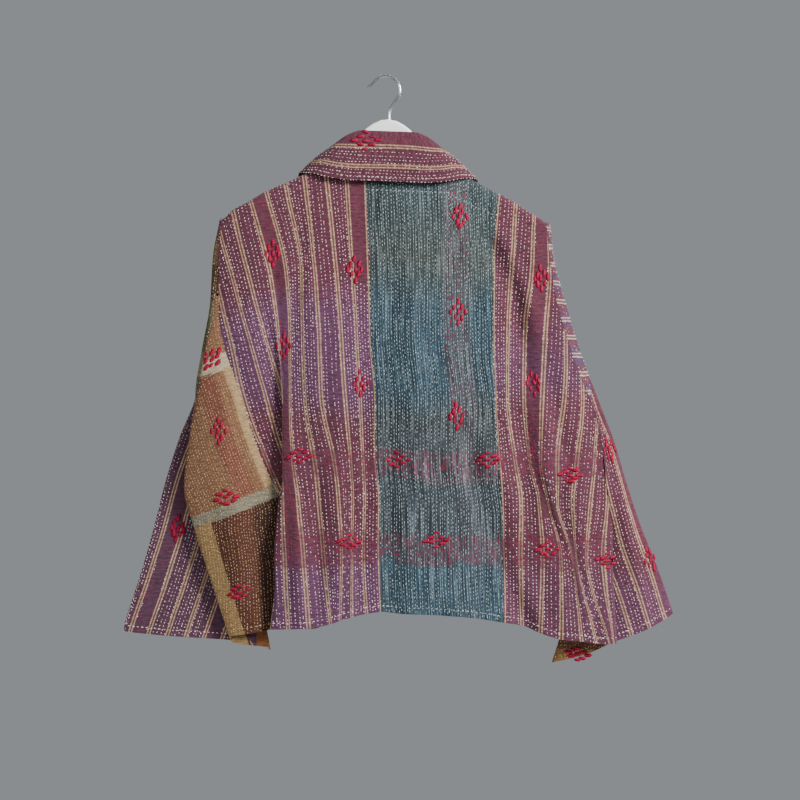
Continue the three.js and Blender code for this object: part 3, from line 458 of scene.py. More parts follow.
def right_under(name, z):
    """The free edges and the fold of the right sleeve under the arm."""
    return read(RIGHT_UNDERARM, "z", name + "X", z), read(RIGHT_UNDERARM, "z", name + "Y", z)


print("cuff of the left sleeve, lowest:", LEFT_SLEEVE_HEM["z"].min())

# %% Surface of the left sleeve
def left_sleeve(index, row):
    """A wide sleeve that hangs in two lobes, folded at its crest, lobe, turn and outer edge."""
    index, row = np.broadcast_arrays(np.asarray(index, float), np.asarray(row, float))
    z = sleeve_height("left", index, row, LEFT_SLEEVE_HEM, LEFT_ROUND)
    get = lambda name: read(LEFT_SLEEVE, "z", name, z)
    under = read(LEFT_UNDERARM, "z", "x", z), read(LEFT_UNDERARM, "z", "y", z)
    near = sleeve_edge("left", "back", row, z, (under[0], under[1] - PINCH))
    far = sleeve_edge("left", "front", row, z, (under[0], under[1] + PINCH))
    crest = get("crestX"), get("crestY")
    rounded = mix(1, FOLD_ROUND, ease(-230, -330, z))
    folded = rounded * ease(-440, -520, z)

    def fold(name, inwards):
        x, y = get(name + "X"), get(name + "Y")
        return [(x + inwards * folded, y - rounded), (x, y), (x + inwards * folded, y + rounded)]

    points = [near, (mix(near[0], crest[0], 0.5), mix(near[1], crest[1], 0.62)), crest,
              *fold("lobe", 1), *fold("turn", -1), *fold("out", 1), (get("farX"), get("farY")), far]
    return point(*section_point(points, index), z)


def brown_edge(row):
    """Where the brown cloth ends round the left sleeve."""
    return np.where(row < BROWN_TOP_ROW, 0, read(BROWN_EDGE, "row", "at", row))


print("left sleeve at its outer fold:", left_sleeve(10, 12).round(1))

# %% Surfaces of the right sleeve
def right_sleeve(index, row):
    """A sleeve that hangs behind the body, folded at its outer edge."""
    index, row = np.broadcast_arrays(np.asarray(index, float), np.asarray(row, float))
    z = sleeve_height("right", index, row, RIGHT_SLEEVE_HEM, 4)
    get = lambda name: read(RIGHT_SLEEVE, "z", name, z)
    points = [sleeve_edge("right", "back", row, z, right_under("near", z)),
              (get("midX"), get("midY")), (get("outX"), get("outY")), (get("farX"), get("farY")),
              sleeve_edge("right", "front", row, z, right_under("far", z))]
    return point(*section_point(points, index), z)


def right_wedge(index, row):
    """The brown wedge that closes the right sleeve under the arm, down to its own point."""
    index, row = np.broadcast_arrays(np.asarray(index, float), np.asarray(row, float))
    near, far = right_sleeve(0 * index, row), right_sleeve(0 * index + 4, row)
    drop = read(RIGHT_BROWN_HEM, "i", "z", index) - RIGHT_BROWN_HEM["z"][0]
    z = near[..., 2] + drop * ease(WEDGE_TOP_ROW, SLEEVE_ROWS, row)
    fold = right_under("fold", z)
    a, b = (near[..., 0], near[..., 1]), (far[..., 0], far[..., 1])
    points = [a, (mix(a[0], fold[0], 0.5), mix(a[1], fold[1], 0.25)), fold,
              (mix(b[0], fold[0], 0.5), mix(b[1], fold[1], 0.25)), b]
    return point(*section_point(points, index), z)


print("lowest point of the wedge:", right_wedge(2, SLEEVE_ROWS).round(1))

# %% Surface of the collar
def collar(u, t):
    """The collar, u from its neck seam up over the roll to its outer edge, t round the neck."""
    u, t = np.broadcast_arrays(np.asarray(u, float), np.asarray(t, float))
    get = lambda name: read(COLLAR, "t", name, abs(t))
    place = lambda name: point(np.where(t < 0, -1, 1) * get(name + "X"), get(name + "Y"), get(name + "Z"))
    neck, roll, out = place("neck"), place("roll"), place("out")
    outward = point(0, ease(5.2, 3, abs(t)) * -2 + 1, ease(2, 3.6, abs(t)) * (1 - ease(4.4, 6, abs(t))))
    outward /= np.linalg.norm(outward, axis=-1, keepdims=True)
    lift = get("lift")[..., None]
    shift = lambda where, amount: where + outward * amount
    points = [neck, shift(mix(neck, roll, 0.55), -0.5), shift(mix(neck, roll, 0.92), 0.2),
              shift(mix(roll, out, 0.02), lift), shift(mix(roll, out, 0.3), lift + 2),
              shift(mix(roll, out, 0.65), lift + 1), out]
    knots = np.linspace(0, 1, 7)
    x, y, z = (curve(knots, [p[..., k] for p in points], u) for k in range(3))
    return point(x, y, z - TILT * x)


print("middle of the collar's outer edge:", collar(1, 0).round(1))

# %% [markdown]
# ## Creases
# Old quilted cotton hangs in shallow, uneven creases. A cloth simulation would make some, but
# not these, so each is listed from one end to the other, with a width and a rise.
# Those of the hidden side are alike.

# %% Creases
CREASES = {
    "back": [
        # x0 z0 x1 z1 width rise: the long folds first, then the small ones
        (120, -190, 184, -330, 15, -5.5), (172, -290, 222, -500, 15, -6.0),
        (152, -190, 226, -390, 11, 3.6), (-178, -230, -158, -520, 18, -7.0),
        (-206, -240, -188, -440, 12, 3.4), (-124, -175, -140, -400, 12, -2.8),
        (-88, -280, -84, -570, 26, 4.4), (6, -185, 3, -480, 15, -5.4), (5, -430, 7, -860, 15, -5.6),
        (32, -210, 38, -620, 12, 3.6), (112, -500, 140, -650, 14, -6.5),
        (134, -610, 216, -870, 16, -8.0), (160, -560, 204, -700, 12, 4.0),
        (184, -700, 240, -860, 13, 4.0), (256, -680, 264, -850, 24, 5.0),
        (297, -440, 305, -610, 13, -4.6), (238, -440, 264, -600, 12, -4.6),
        (214, -400, 234, -560, 11, 4.0), (-70, -300, -66, -780, 13, 4.0),
        (-14, -260, -13, -840, 10, 3.4), (146, -290, 150, -500, 10, 3.4),
        (-184, -590, -190, -800, 15, -5.5), (-226, -560, -214, -800, 15, 4.5),
        (56, -300, 60, -520, 11, -3.0), (88, -640, 96, -840, 12, 3.4),
        (-40, -620, -42, -840, 9, -2.6), (-104, -540, -100, -830, 10, -3.0),
        (-134, -600, -126, -820, 9, 3.0), (-228, -250, -196, -430, 9, -2.2),
        (262, -560, 300, -760, 12, 3.6), (290, -620, 306, -830, 9, -2.6),
        (-214, -420, -246, -560, 11, 2.6), (-256, -560, -230, -720, 10, 1.8),
        (-300, -520, -330, -780, 10, 2.2), (-334, -620, -352, -830, 9, -2.0),
        (-318, -600, -322, -820, 8, -1.8), (-60, -330, -20, -345, 16, 1.2),
        (-140, -560, -90, -552, 14, 1.3), (170, -345, 230, -372, 14, 1.4),
        (180, -690, 250, -668, 14, 1.4), (330, -540, 356, -700, 9, 2.4),
        (350, -660, 388, -830, 10, 2.6), (372, -700, 400, -830, 8, -2.2),
        (306, -470, 330, -600, 9, -2.2), (-90, -430, -40, -452, 15, 1.1),
    ],
    "front": [
        (-40, -250, -46, -560, 10, 2.0), (-86, -230, -100, -480, 12, 2.0),
        (-150, -240, -140, -520, 11, 1.8), (-70, -520, -56, -760, 10, 2.2),
        (-110, -560, -126, -760, 10, -1.8), (34, -260, 42, -600, 10, 2.2),
        (80, -240, 96, -500, 11, 2.0), (140, -230, 160, -470, 12, 2.2),
        (196, -300, 186, -560, 11, 2.0), (70, -540, 62, -760, 11, 1.8),
        (120, -520, 140, -760, 10, 2.2), (190, -590, 214, -790, 10, 2.2),
        (250, -480, 262, -700, 10, -1.8), (-240, -480, -262, -700, 10, 1.8),
        (-300, -560, -340, -780, 10, 1.8), (-200, -560, -214, -790, 10, 1.6),
        (340, -560, 372, -780, 10, 1.8),
    ],
}


def creases(side, x, z):
    """How far the cloth rises at a place, summed over the creases of one side."""
    total = 0
    for x0, z0, x1, z1, width, rise in CREASES[side]:
        dx, dz = x1 - x0, z1 - z0
        along = ((x - x0) * dx + (z - z0) * dz) / (dx * dx + dz * dz)
        nearest = np.clip(along, 0, 1)
        bend = 0.12 * width * np.sin(5 * along + x0)
        away = np.hypot(x - x0 - nearest * dx + bend, z - z0 - nearest * dz)
        fade = ease(-0.05, 0.3, along) * (1 - ease(0.65, 1.05, along))
        total = total + rise * fade * np.exp(-(away / width) ** 2)
    return total


def creased(points, side, weight):
    """Moves the cloth out where a crease rises, towards -Y on the back and +Y on the front."""
    moved = points.copy()
    push = creases(side, points[..., 0], points[..., 2]) * weight
    moved[..., 1] += push if side == "front" else -push
    return moved


def settled(row):
    """0 on the shoulder's bend and 1 two rows below it."""
    return ease(BEND_ROWS, BEND_ROWS + 2, row)


print("creases:", {side: len(rows) for side, rows in CREASES.items()})

# %% The body with its creases
def back_cloth(side):
    """A striped back; where a deep fold hides the cloth, and at the free seam, it stays plain."""
    def surface(u, row):
        flat = striped_back(side, u, row)
        s = u * edge_stripe(side, flat[..., 2])
        hidden = ease(5.6, 6.4, s) * (1 - ease(7.6, 8.6, s)) if side == "left" else ease(7.1, 7.6, s)
        seam = ease(0.85, 1, u) * ease(UNDERARM + 20, UNDERARM - 20, flat[..., 2])
        return creased(flat, "back", settled(row) * (1 - 0.85 * hidden) * (1 - seam))
    return surface


def centre_cloth(u, row):
    """The centre back with its creases."""
    return creased(centre_back(u, row), "back", settled(row))


def front_cloth(side):
    """A front with its creases."""
    return lambda u, row: creased(front(side, u, row), "front", settled(row) * ease(0, 0.15, u))


print("a crease moves the centre back by mm:",
      round(float((centre_cloth(0.3, 15) - centre_back(0.3, 15))[1]), 2))

# %% The sleeves with their creases
CAP_REACH = 0.96  # share of the way to the body that a sleeve's cap reaches
CAP_RISE = np.array([0, 0, 1.5])


def capped(side, places, sleeve):
    """Rows above a sleeve's first one close it over the end of the shoulder's bend."""
    def surface(index, row):
        flat = sleeve(index, np.maximum(0, row))
        around = 2 * index / places - 1
        bend = BEND_ROWS * abs(around)
        one = np.ones(bend.shape)
        end = pick(around < 0, striped_back(side, one, bend), front(side, 0 * one, bend))
        over = -np.minimum(0, row)[..., None]
        return flat + (end - flat) * over * CAP_REACH + CAP_RISE * np.sin(np.pi * over)
    return surface


def left_cloth(index, row):
    """The left sleeve, creased on its near lobe, on its far lobe and on the far side."""
    flat = capped("left", LEFT_ROUND, left_sleeve)(index, row)
    free_seam = ease(9, 10, row) * (1 - ease(0, 1, index))
    near = creased(flat, "back", settled(row + BEND_ROWS) * (1 - ease(2.2, 3, index)) * (1 - free_seam))
    far = creased(flat, "front", ease(10.8, 11.8, index) * (1 - ease(12.4, 13, index)))
    lobe = creased(flat, "back", ease(7.6, 8.4, index) * (1 - ease(8.8, 9.2, index)) * 0.8)
    return near + far + lobe - 2 * flat


def right_cloth(index, row):
    """The right sleeve, creased on both sides."""
    flat = capped("right", 4, right_sleeve)(index, row)
    free_seam = ease(9, 10, row) * (1 - ease(0, 0.4, index))
    near = creased(flat, "back", settled(row + BEND_ROWS) * (1 - ease(1, 1.8, index)) * (1 - free_seam))
    far = creased(flat, "front", ease(2.3, 3, index) * (1 - ease(3.5, 4, index)))
    return near + far - flat


print("right sleeve at its outer fold:", right_cloth(np.array([2.0]), np.array([12.0])).round(1))

# %% [markdown]
# ## Shells of cloth
# The real wall is two or three layers of cotton, 2 mm thick. A plane with a solidify modifier
# would do, but its rim would turn its own way at each seam. Here every rim is turned by the
# direction that it shares with its neighbour, so the two cuts meet evenly.

# %% Rims and neighbours of a shell
GRID = {}  # the points, outward directions and map of each shell, for the stitches
MIRROR = np.array([1, -1, 1])


def put(name, data):
    """Adds an object that holds this mesh, curve, light or camera."""
    thing = bpy.data.objects.new(name, data)
    bpy.context.scene.collection.objects.link(thing)
    return thing


def draw_in(p):
    """Draws the first and last line of a grid in by half a seam gap, measured square to the seam."""
    for edge, inner in ((0, 1), (-1, -2)):
        step = unit(p[inner] - p[edge])
        onwards = np.concatenate([p[edge, 1:], p[edge, -1:]]) - np.concatenate([p[edge, :1], p[edge, :-1]])
        square = np.linalg.norm(np.cross(step, unit(onwards)), axis=-1, keepdims=True)
        p[edge] += step * SEAM_GAP / 2 / np.maximum(0.5, square)


def with_neighbours(p, u, rows, before, after, above, below):
    """The grid with one line more on each side, a neighbour's where there is one."""
    ring = np.pad(p, ((1, 1), (1, 1), (0, 0)), mode="edge")
    for beside, target, own in ((before, ring[0, 1:-1], p[0]), (after, ring[-1, 1:-1], p[-1])):
        if beside is not None:
            near = beside(rows)
            target[:] = np.where(np.isnan(near), own, near)
    on_top = (abs(p[:, 0, 1]) < SEAM_GAP) & (abs(p[:, 0, 0]) > NECK_HALF - NECK_TURN)
    ring[1:-1, 0] = above(u) if above is not None else pick(on_top, p[:, 1] * MIRROR, p[:, 0])
    if below is not None:
        ring[1:-1, -1] = below(u)
    return ring


print("half a seam gap:", SEAM_GAP / 2, "mm")

# %% Faces of a shell
def shell_faces(count_u, count_v, flip):
    """Quads of both sides and of the rim, and the edges where a side meets the rim."""
    half = count_u * count_v
    index = np.arange(half).reshape(count_u, count_v)
    a, b, c, d = (index[:-1, :-1].ravel(), index[1:, :-1].ravel(), index[1:, 1:].ravel(),
                  index[:-1, 1:].ravel())
    outer = np.stack([a, d, c, b] if flip else [a, b, c, d], axis=1)
    inner = np.stack([a, b, c, d] if flip else [a, d, c, b], axis=1) + half
    rim = np.concatenate([index[:-1, 0], index[-1, :-1], index[:0:-1, -1], index[0, :0:-1]])
    if flip:
        rim = rim[::-1]
    onwards = np.roll(rim, -1)
    border = np.stack([onwards, rim, rim + half, onwards + half], axis=1)
    edges = {tuple(sorted(pair)) for pair in zip(rim.tolist(), onwards.tolist())}
    sharp = edges | {(x + half, y + half) for x, y in edges}
    return np.concatenate([outer, inner, border]), sharp


print("faces of a small shell:", len(shell_faces(3, 3, False)[0]))

# %% Shell builder
def from_edge(uu, rr, lengths, points):
    """Across is the length of cloth from the first edge, and down is the height."""
    return lengths, -points[..., 2]


def shell(name, surface, columns, rows, flip=False, inwards=False, before=None, after=None, above=None,
          below=None, uv=from_edge):
    """A closed thin shell on a grid of points, as the solids have, in metres at the end."""
    u = np.linspace(0, 1, columns + 1)
    uu, rr = np.meshgrid(u, rows, indexing="ij")
    p = surface(uu, rr)
    whole = p.copy()
    draw_in(p)
    draw_in(p.swapaxes(0, 1))
    ring = with_neighbours(p, u, rows, before, after, above, below)
    du = unit(p - ring[:-2, 1:-1]) + unit(ring[2:, 1:-1] - p)
    dv = unit(p - ring[1:-1, :-2]) + unit(ring[1:-1, 2:] - p)
    normal = unit(np.cross(du, dv)) * (-1 if flip else 1)
    steps = np.linalg.norm(np.diff(whole, axis=0), axis=-1)
    lengths = np.concatenate([np.zeros((1, len(rows))), np.cumsum(steps, axis=0)])
    across_mm, down_mm = uv(uu, rr, lengths, whole)
    GRID[name] = {"p": p, "n": -normal if inwards else normal, "a": across_mm}

    top, bottom = p + normal * WALL / 2, p - normal * WALL / 2
    corners = np.concatenate([top.reshape(-1, 3), bottom.reshape(-1, 3)]) / 1000
    faces, sharp = shell_faces(*p.shape[:2], flip)
    mesh = bpy.data.meshes.new(name)
    mesh.from_pydata(corners.tolist(), [], faces.tolist())
    flat_uv = np.stack([np.tile(across_mm.ravel(), 2), np.tile(down_mm.ravel(), 2)], axis=1) / 1000
    layer = mesh.uv_layers.new(name="cloth")
    layer.data.foreach_set("uv", flat_uv[faces.ravel()].astype(np.float32).ravel())
    mesh.shade_smooth()
    mesh.attributes.new("sharp_edge", "BOOLEAN", "EDGE")
    flags = [tuple(sorted(edge.vertices)) in sharp for edge in mesh.edges]
    mesh.attributes["sharp_edge"].data.foreach_set("value", flags)
    return put(name, mesh)


print("a wall of", WALL / 1000, "m")

# %% [markdown]
# ## The cuts of cloth
# A maker cuts the back in three, each front, the collar and the sleeves' patches apart. They
# could share one mesh with a material on each area. Twelve shells keep each real cut a piece
# of its own. Across a striped cut is counted in stripes, so that the pattern follows them.

# %% Rows and columns
PITCH = 27.0  # mm from stripe to stripe
FINE = 8  # rows of a shell for each row of its table
body_rows = np.concatenate([np.linspace(0, BEND_ROWS, 9),
                            np.linspace(BEND_ROWS, BODY_ROWS, SLEEVE_ROWS * FINE + 1)[1:]])
sleeve_rows = np.linspace(0, SLEEVE_ROWS, SLEEVE_ROWS * FINE + 1)
cap_rows = [-1, -0.66, -0.33]
head_rows = np.concatenate([cap_rows, sleeve_rows[: HEAD_ROWS * FINE + 1]])
lower_rows = sleeve_rows[HEAD_ROWS * FINE:]
brown_rows = sleeve_rows[BROWN_TOP_ROW * FINE:]
wedge_rows = sleeve_rows[WEDGE_TOP_ROW * FINE:]
collar_rows = np.linspace(-7, 7, 161)
COUNT = {"left": 90, "right": 48, "centre": 46, "front": 52, "striped": 84, "brown": 60, "around": 48,
         "wedge": 30, "collar": 40}
print("rows:", len(body_rows), "on the body,", len(sleeve_rows), "on a sleeve")

# %% Neighbours across a seam
left_striped = lambda u, row: left_cloth(mix(brown_edge(row), LEFT_ROUND, u), row)
left_brown = lambda u, row: left_cloth(mix(0, brown_edge(row), u), row)
right_around = lambda u, row: right_cloth(4 * u, row)
wedge = lambda u, row: right_wedge(4 * u, row)


def second(surface, columns, from_end=False):
    """The line of points next to a surface's first edge, or to its last."""
    share = 1 / COUNT[columns]
    return lambda row: surface((1 - share if from_end else share) + 0 * row, row)


def joins(side, row):
    """Whether the sleeve is sewn to the body at this row of the sleeve."""
    body = row + BEND_ROWS
    return (row >= 0) & (striped_back(side, np.ones(row.shape), body)[..., 2] > UNDERARM + 10)


def sleeve_near(side, row):
    """The sleeve beside the back."""
    row = np.maximum(0, row)
    if side == "right":
        return second(right_around, "around")(row)
    brown = second(left_brown, "brown")(np.maximum(BROWN_TOP_ROW, row))
    return pick(row < BROWN_TOP_ROW, second(left_striped, "striped")(row), brown)


def sleeve_far(side, row):
    """The sleeve beside the front."""
    row = np.maximum(0, row)
    if side == "right":
        return second(right_around, "around", True)(row)
    return second(left_striped, "striped", True)(row)


print("the left sleeve beside the back:", sleeve_near("left", np.array([2.0])).round(1))

# %% What lies beside each edge
def below_bend(row, points):
    """Round the bend at the shoulder an edge has no neighbour."""
    return pick(row < BEND_ROWS, np.nan, points)


def next_to_back(side):
    """Beside a back: the sleeve down to the underarm, then the front."""
    front_near = second(front_cloth(side), "front")
    return lambda row: below_bend(row, pick(
        joins(side, row - BEND_ROWS), sleeve_near(side, row - BEND_ROWS), front_near(row)))


def next_to_front(side):
    """Beside a front: the sleeve down to the underarm, then the back."""
    back_near = second(back_cloth(side), side, True)
    return lambda row: below_bend(row, pick(
        joins(side, row - BEND_ROWS), sleeve_far(side, row - BEND_ROWS), back_near(row)))


def next_to_sleeve(side, end):
    """Beside a sleeve: the body down to the underarm, then the sleeve's own other edge."""
    def beside(row):
        if end == "start":
            body = second(back_cloth(side), side, True)
        else:
            body = second(front_cloth(side), "front")
        if side == "left":
            free = sleeve_far("left", row) if end == "start" else sleeve_near("left", row)
        else:
            free = second(wedge, "wedge", end != "start")(row)
        return pick(joins(side, row), body(row + BEND_ROWS), free)
    return beside


def beside_striped(row):
    """Beside the left sleeve's striped cloth: the back, then the brown cloth."""
    brown = second(left_brown, "brown", True)(np.maximum(BROWN_TOP_ROW, row))
    return pick(row < BROWN_TOP_ROW, next_to_sleeve("left", "start")(row), brown)


print("rows of the left sleeve sewn to the body:", int(joins("left", sleeve_rows).sum()))

# %% Maps of the cuts
def in_stripes(side):
    """Across is counted in stripes from the centre seam."""
    return lambda uu, rr, lengths, points: (
        uu * edge_stripe(side, points[..., 2]) * PITCH, -points[..., 2])


def from_fold(index_of, fold):
    """Across is the way round the sleeve from its outer fold."""
    def uv(uu, rr, lengths, points):
        index = index_of(uu, rr)
        at = np.array([np.interp(fold, index[:, j], lengths[:, j]) for j in range(index.shape[1])])
        return lengths - at[None], -points[..., 2]
    return uv


def round_neck(uu, rr, lengths, points):
    """Across is the way in from the collar's outer edge, and down is the way round the neck."""
    return lengths[-1:] - lengths, rr * 26


from_left_fold = from_fold(lambda uu, rr: mix(brown_edge(rr), LEFT_ROUND, uu), 10)
from_right_fold = from_fold(lambda uu, rr: 4 * uu, 2)
print("one stripe across is", PITCH, "mm of cloth")

# %% Build the cloth
cuts = {}
left_back, right_back = back_cloth("left"), back_cloth("right")
row_below = HEAD_ROWS + 1 / FINE
row_above = HEAD_ROWS - 1 / FINE
SHELLS = {
    # cut: surface, columns, rows, and what lies beside it
    "back_left": (left_back, "left", body_rows, dict(
        flip=True, inwards=True, before=second(centre_cloth, "centre"), after=next_to_back("left"),
        uv=in_stripes("left"))),
    "back_centre": (centre_cloth, "centre", body_rows, dict(
        inwards=True, before=second(left_back, "left"), after=second(right_back, "right"))),
    "back_right": (right_back, "right", body_rows, dict(
        inwards=True, before=second(centre_cloth, "centre", True), after=next_to_back("right"),
        uv=in_stripes("right"))),
    "front_left": (front_cloth("left"), "front", body_rows, dict(before=next_to_front("left"))),
    "front_right": (front_cloth("right"), "front", body_rows, dict(
        flip=True, before=next_to_front("right"))),
    "collar": (collar, "collar", collar_rows, dict(uv=round_neck)),
    "sleeve_left_head": (left_striped, "striped", head_rows, dict(
        before=beside_striped, after=next_to_sleeve("left", "end"),
        below=lambda u: left_striped(u, row_below + 0 * u), uv=from_left_fold)),
    "sleeve_left_striped": (left_striped, "striped", lower_rows, dict(
        before=beside_striped, after=next_to_sleeve("left", "end"),
        above=lambda u: left_striped(u, row_above + 0 * u), uv=from_left_fold)),
    "sleeve_left_brown": (left_brown, "brown", brown_rows, dict(
        before=next_to_sleeve("left", "start"), after=second(left_striped, "striped"))),
    "sleeve_right_head": (right_around, "around", head_rows, dict(
        flip=True, before=next_to_sleeve("right", "start"), after=next_to_sleeve("right", "end"),
        below=lambda u: right_around(u, row_below + 0 * u), uv=from_right_fold)),
    "sleeve_right_striped": (right_around, "around", lower_rows, dict(
        flip=True, before=next_to_sleeve("right", "start"), after=next_to_sleeve("right", "end"),
        above=lambda u: right_around(u, row_above + 0 * u), uv=from_right_fold)),
    "sleeve_right_brown": (wedge, "wedge", wedge_rows, dict(
        before=second(right_around, "around"), after=second(right_around, "around", True))),
}
for cut, (surface, columns, rows, beside) in SHELLS.items():
    cuts[cut] = shell("cloth_" + cut, surface, COUNT[columns], rows, **beside)
print("cuts:", {name: len(cut.data.polygons) for name, cut in cuts.items()})

# %% [markdown]
# ## Running stitches
# Kantha cloth is quilted by hand with rows of short running stitches. A bump map would show
# them, but not catch the light as thread does. The rows follow the cloth, so their points are
# found on each shell's own grid; a small tree of Geometry Nodes then lays one rounded thread
# on each point, turned along its row.

# %% Places on a shell
STITCHING = {
    # thread: row gap, step, length, width, height in mm
    "pink": (5.2, 5.2, 2.4, 1.3, 0.8),
    "white": (3.9, 5.6, 3.6, 0.85, 0.8),
    "ochre": (4.4, 4.6, 2.4, 0.95, 0.7),
}
rng = np.random.default_rng(7)


def sample(name, fi, fj, key):
    """Reads a shell's grid at places between its points."""
    grid = GRID[name][key]
    i = np.clip(np.floor(fi), 0, grid.shape[0] - 2).astype(int)
    j = np.clip(np.floor(fj), 0, grid.shape[1] - 2).astype(int)
    u, v = fi - i, fj - j
    if grid.ndim == 3:
        u, v = u[:, None], v[:, None]
    return mix(mix(grid[i, j], grid[i + 1, j], u), mix(grid[i, j + 1], grid[i + 1, j + 1], u), v)


def lengths_along(line):
    """Length along a line of points, up to each of them."""
    return np.concatenate([[0], np.cumsum(np.linalg.norm(np.diff(line, axis=0), axis=1))])


print("stitches to a metre of row:", {thread: round(1000 / row[1]) for thread, row in STITCHING.items()})

# %% Rows down the cloth
def crowding(name, places):
    """How wide the cloth lies at a place against its own map; rows crowd where it is gathered."""
    grid = GRID[name]
    wide = np.linalg.norm(np.gradient(grid["p"], axis=0), axis=-1)
    counted = abs(np.gradient(grid["a"], axis=0))
    fi, fj = np.round(places).astype(int).T
    return (wide[fi, fj] / np.maximum(1e-6, counted[fi, fj]) - 0.35) / 0.45


def stitch_rows(name, gap, step):
    """Places along the rows of a shell, as grid places: a row every gap, a stitch every step."""
    a = GRID[name]["a"]
    places = []
    values = np.arange(np.ceil(a.min() / gap), np.floor(a.max() / gap) + 1) * gap
    order = np.arange(a.shape[0])
    down = np.arange(a.shape[1])
    way = np.where(a[-1] > a[0], 1, -1)
    for count, value in enumerate(values):
        slow, quick = 0.11 * down + rng.uniform(0, 6.3), 0.31 * down + rng.uniform(0, 6.3)
        wander = 0.8 * np.sin(slow) + 0.3 * np.sin(quick)
        fi = np.array([np.interp((value + wander[j]) * way[j], a[:, j] * way[j], order,
                                 left=np.nan, right=np.nan) for j in down])
        good = np.flatnonzero(~np.isnan(fi))
        if len(good) < 4:
            continue
        fi, fj = fi[good], good.astype(float)
        line = sample(name, fi, fj, "p")
        along = lengths_along(line)
        start = step * ((0.5 if count % 2 else 1) + rng.uniform(-0.2, 0.2))
        stops = np.arange(start, along[-1] - 1.5, step)
        stops = stops + rng.normal(0, 0.8, len(stops))
        places.append(np.stack([np.interp(stops, along, fi), np.interp(stops, along, fj)], axis=1))
    places = np.concatenate(places)
    return places[rng.random(len(places)) < crowding(name, places)]


middle = np.array([[20.0, 80.0]])
print("room for stitches in the left back's middle:", crowding("cloth_back_left", middle).round(2))

# %% Rows along an edge, and where a stitch lies
def on_cloth(name, places, drop=(0.0, 1.0)):
    """Position, outward direction and row direction, in metres, at grid places."""
    fi, fj = places[:, 0], places[:, 1]
    n = unit(sample(name, fi, fj, "n"))
    p = sample(name, fi, fj, "p") + n * (WALL / 2)
    ahead = sample(name, fi + 0.2 * drop[0], fj + 0.2 * drop[1], "p") - sample(name, fi, fj, "p")
    along = unit(unit(ahead) + rng.normal(0, 0.1, ahead.shape))
    return p / 1000, n, along


def edge_places(name, side, inset, step=6.5):
    """Grid places of a row of stitches along a shell's foot, its head or its far side."""
    p = GRID[name]["p"]
    lines = {"foot": p[:, ::-1], "head": p, "far": p.swapaxes(0, 1)[:, ::-1]}[side]
    reach = np.cumsum(np.linalg.norm(np.diff(lines, axis=1), axis=-1), axis=1)
    inwards = np.array([np.interp(inset, line, np.arange(1, len(line) + 1)) for line in reach])
    order = np.arange(len(lines))
    fi, fj = {"foot": (order, p.shape[1] - 1 - inwards), "head": (order, inwards),
              "far": (p.shape[0] - 1 - inwards, order)}[side]
    line = sample(name, fi.astype(float), fj.astype(float), "p")
    along = lengths_along(line)
    stops = np.arange(3, along[-1] - 2, step)
    return np.stack([np.interp(stops, along, fi), np.interp(stops, along, fj)], axis=1)


print("stitches round the centre back's hem:", len(edge_places("cloth_back_centre", "foot", 9)))

# %% A helper that adds a node
def node(tree, kind, inputs=None, out=0, stops=(), between="LINEAR", **settings):
    """Adds a node with its settings, joins or sets its inputs, and returns one output.

    A colour ramp also takes its stops, as places with a grey value or a colour.
    """
    made = tree.nodes.new(kind)
    for setting, value in settings.items():
        setattr(made, setting, value)
    if stops:
        made.color_ramp.interpolation = between
        elements = made.color_ramp.elements
        while len(elements) < len(stops):
            elements.new(0.5)
        for element, (place, value) in zip(elements, stops):
            element.position = place
            element.color = value if hasattr(value, "__len__") else (value, value, value, 1)
    for socket, value in (inputs or {}).items():
        if isinstance(value, bpy.types.NodeSocket):
            tree.links.new(value, made.inputs[socket])
        else:
            made.inputs[socket].default_value = value
    return made.outputs[out]


print("node groups before the first one:", len(bpy.data.node_groups))

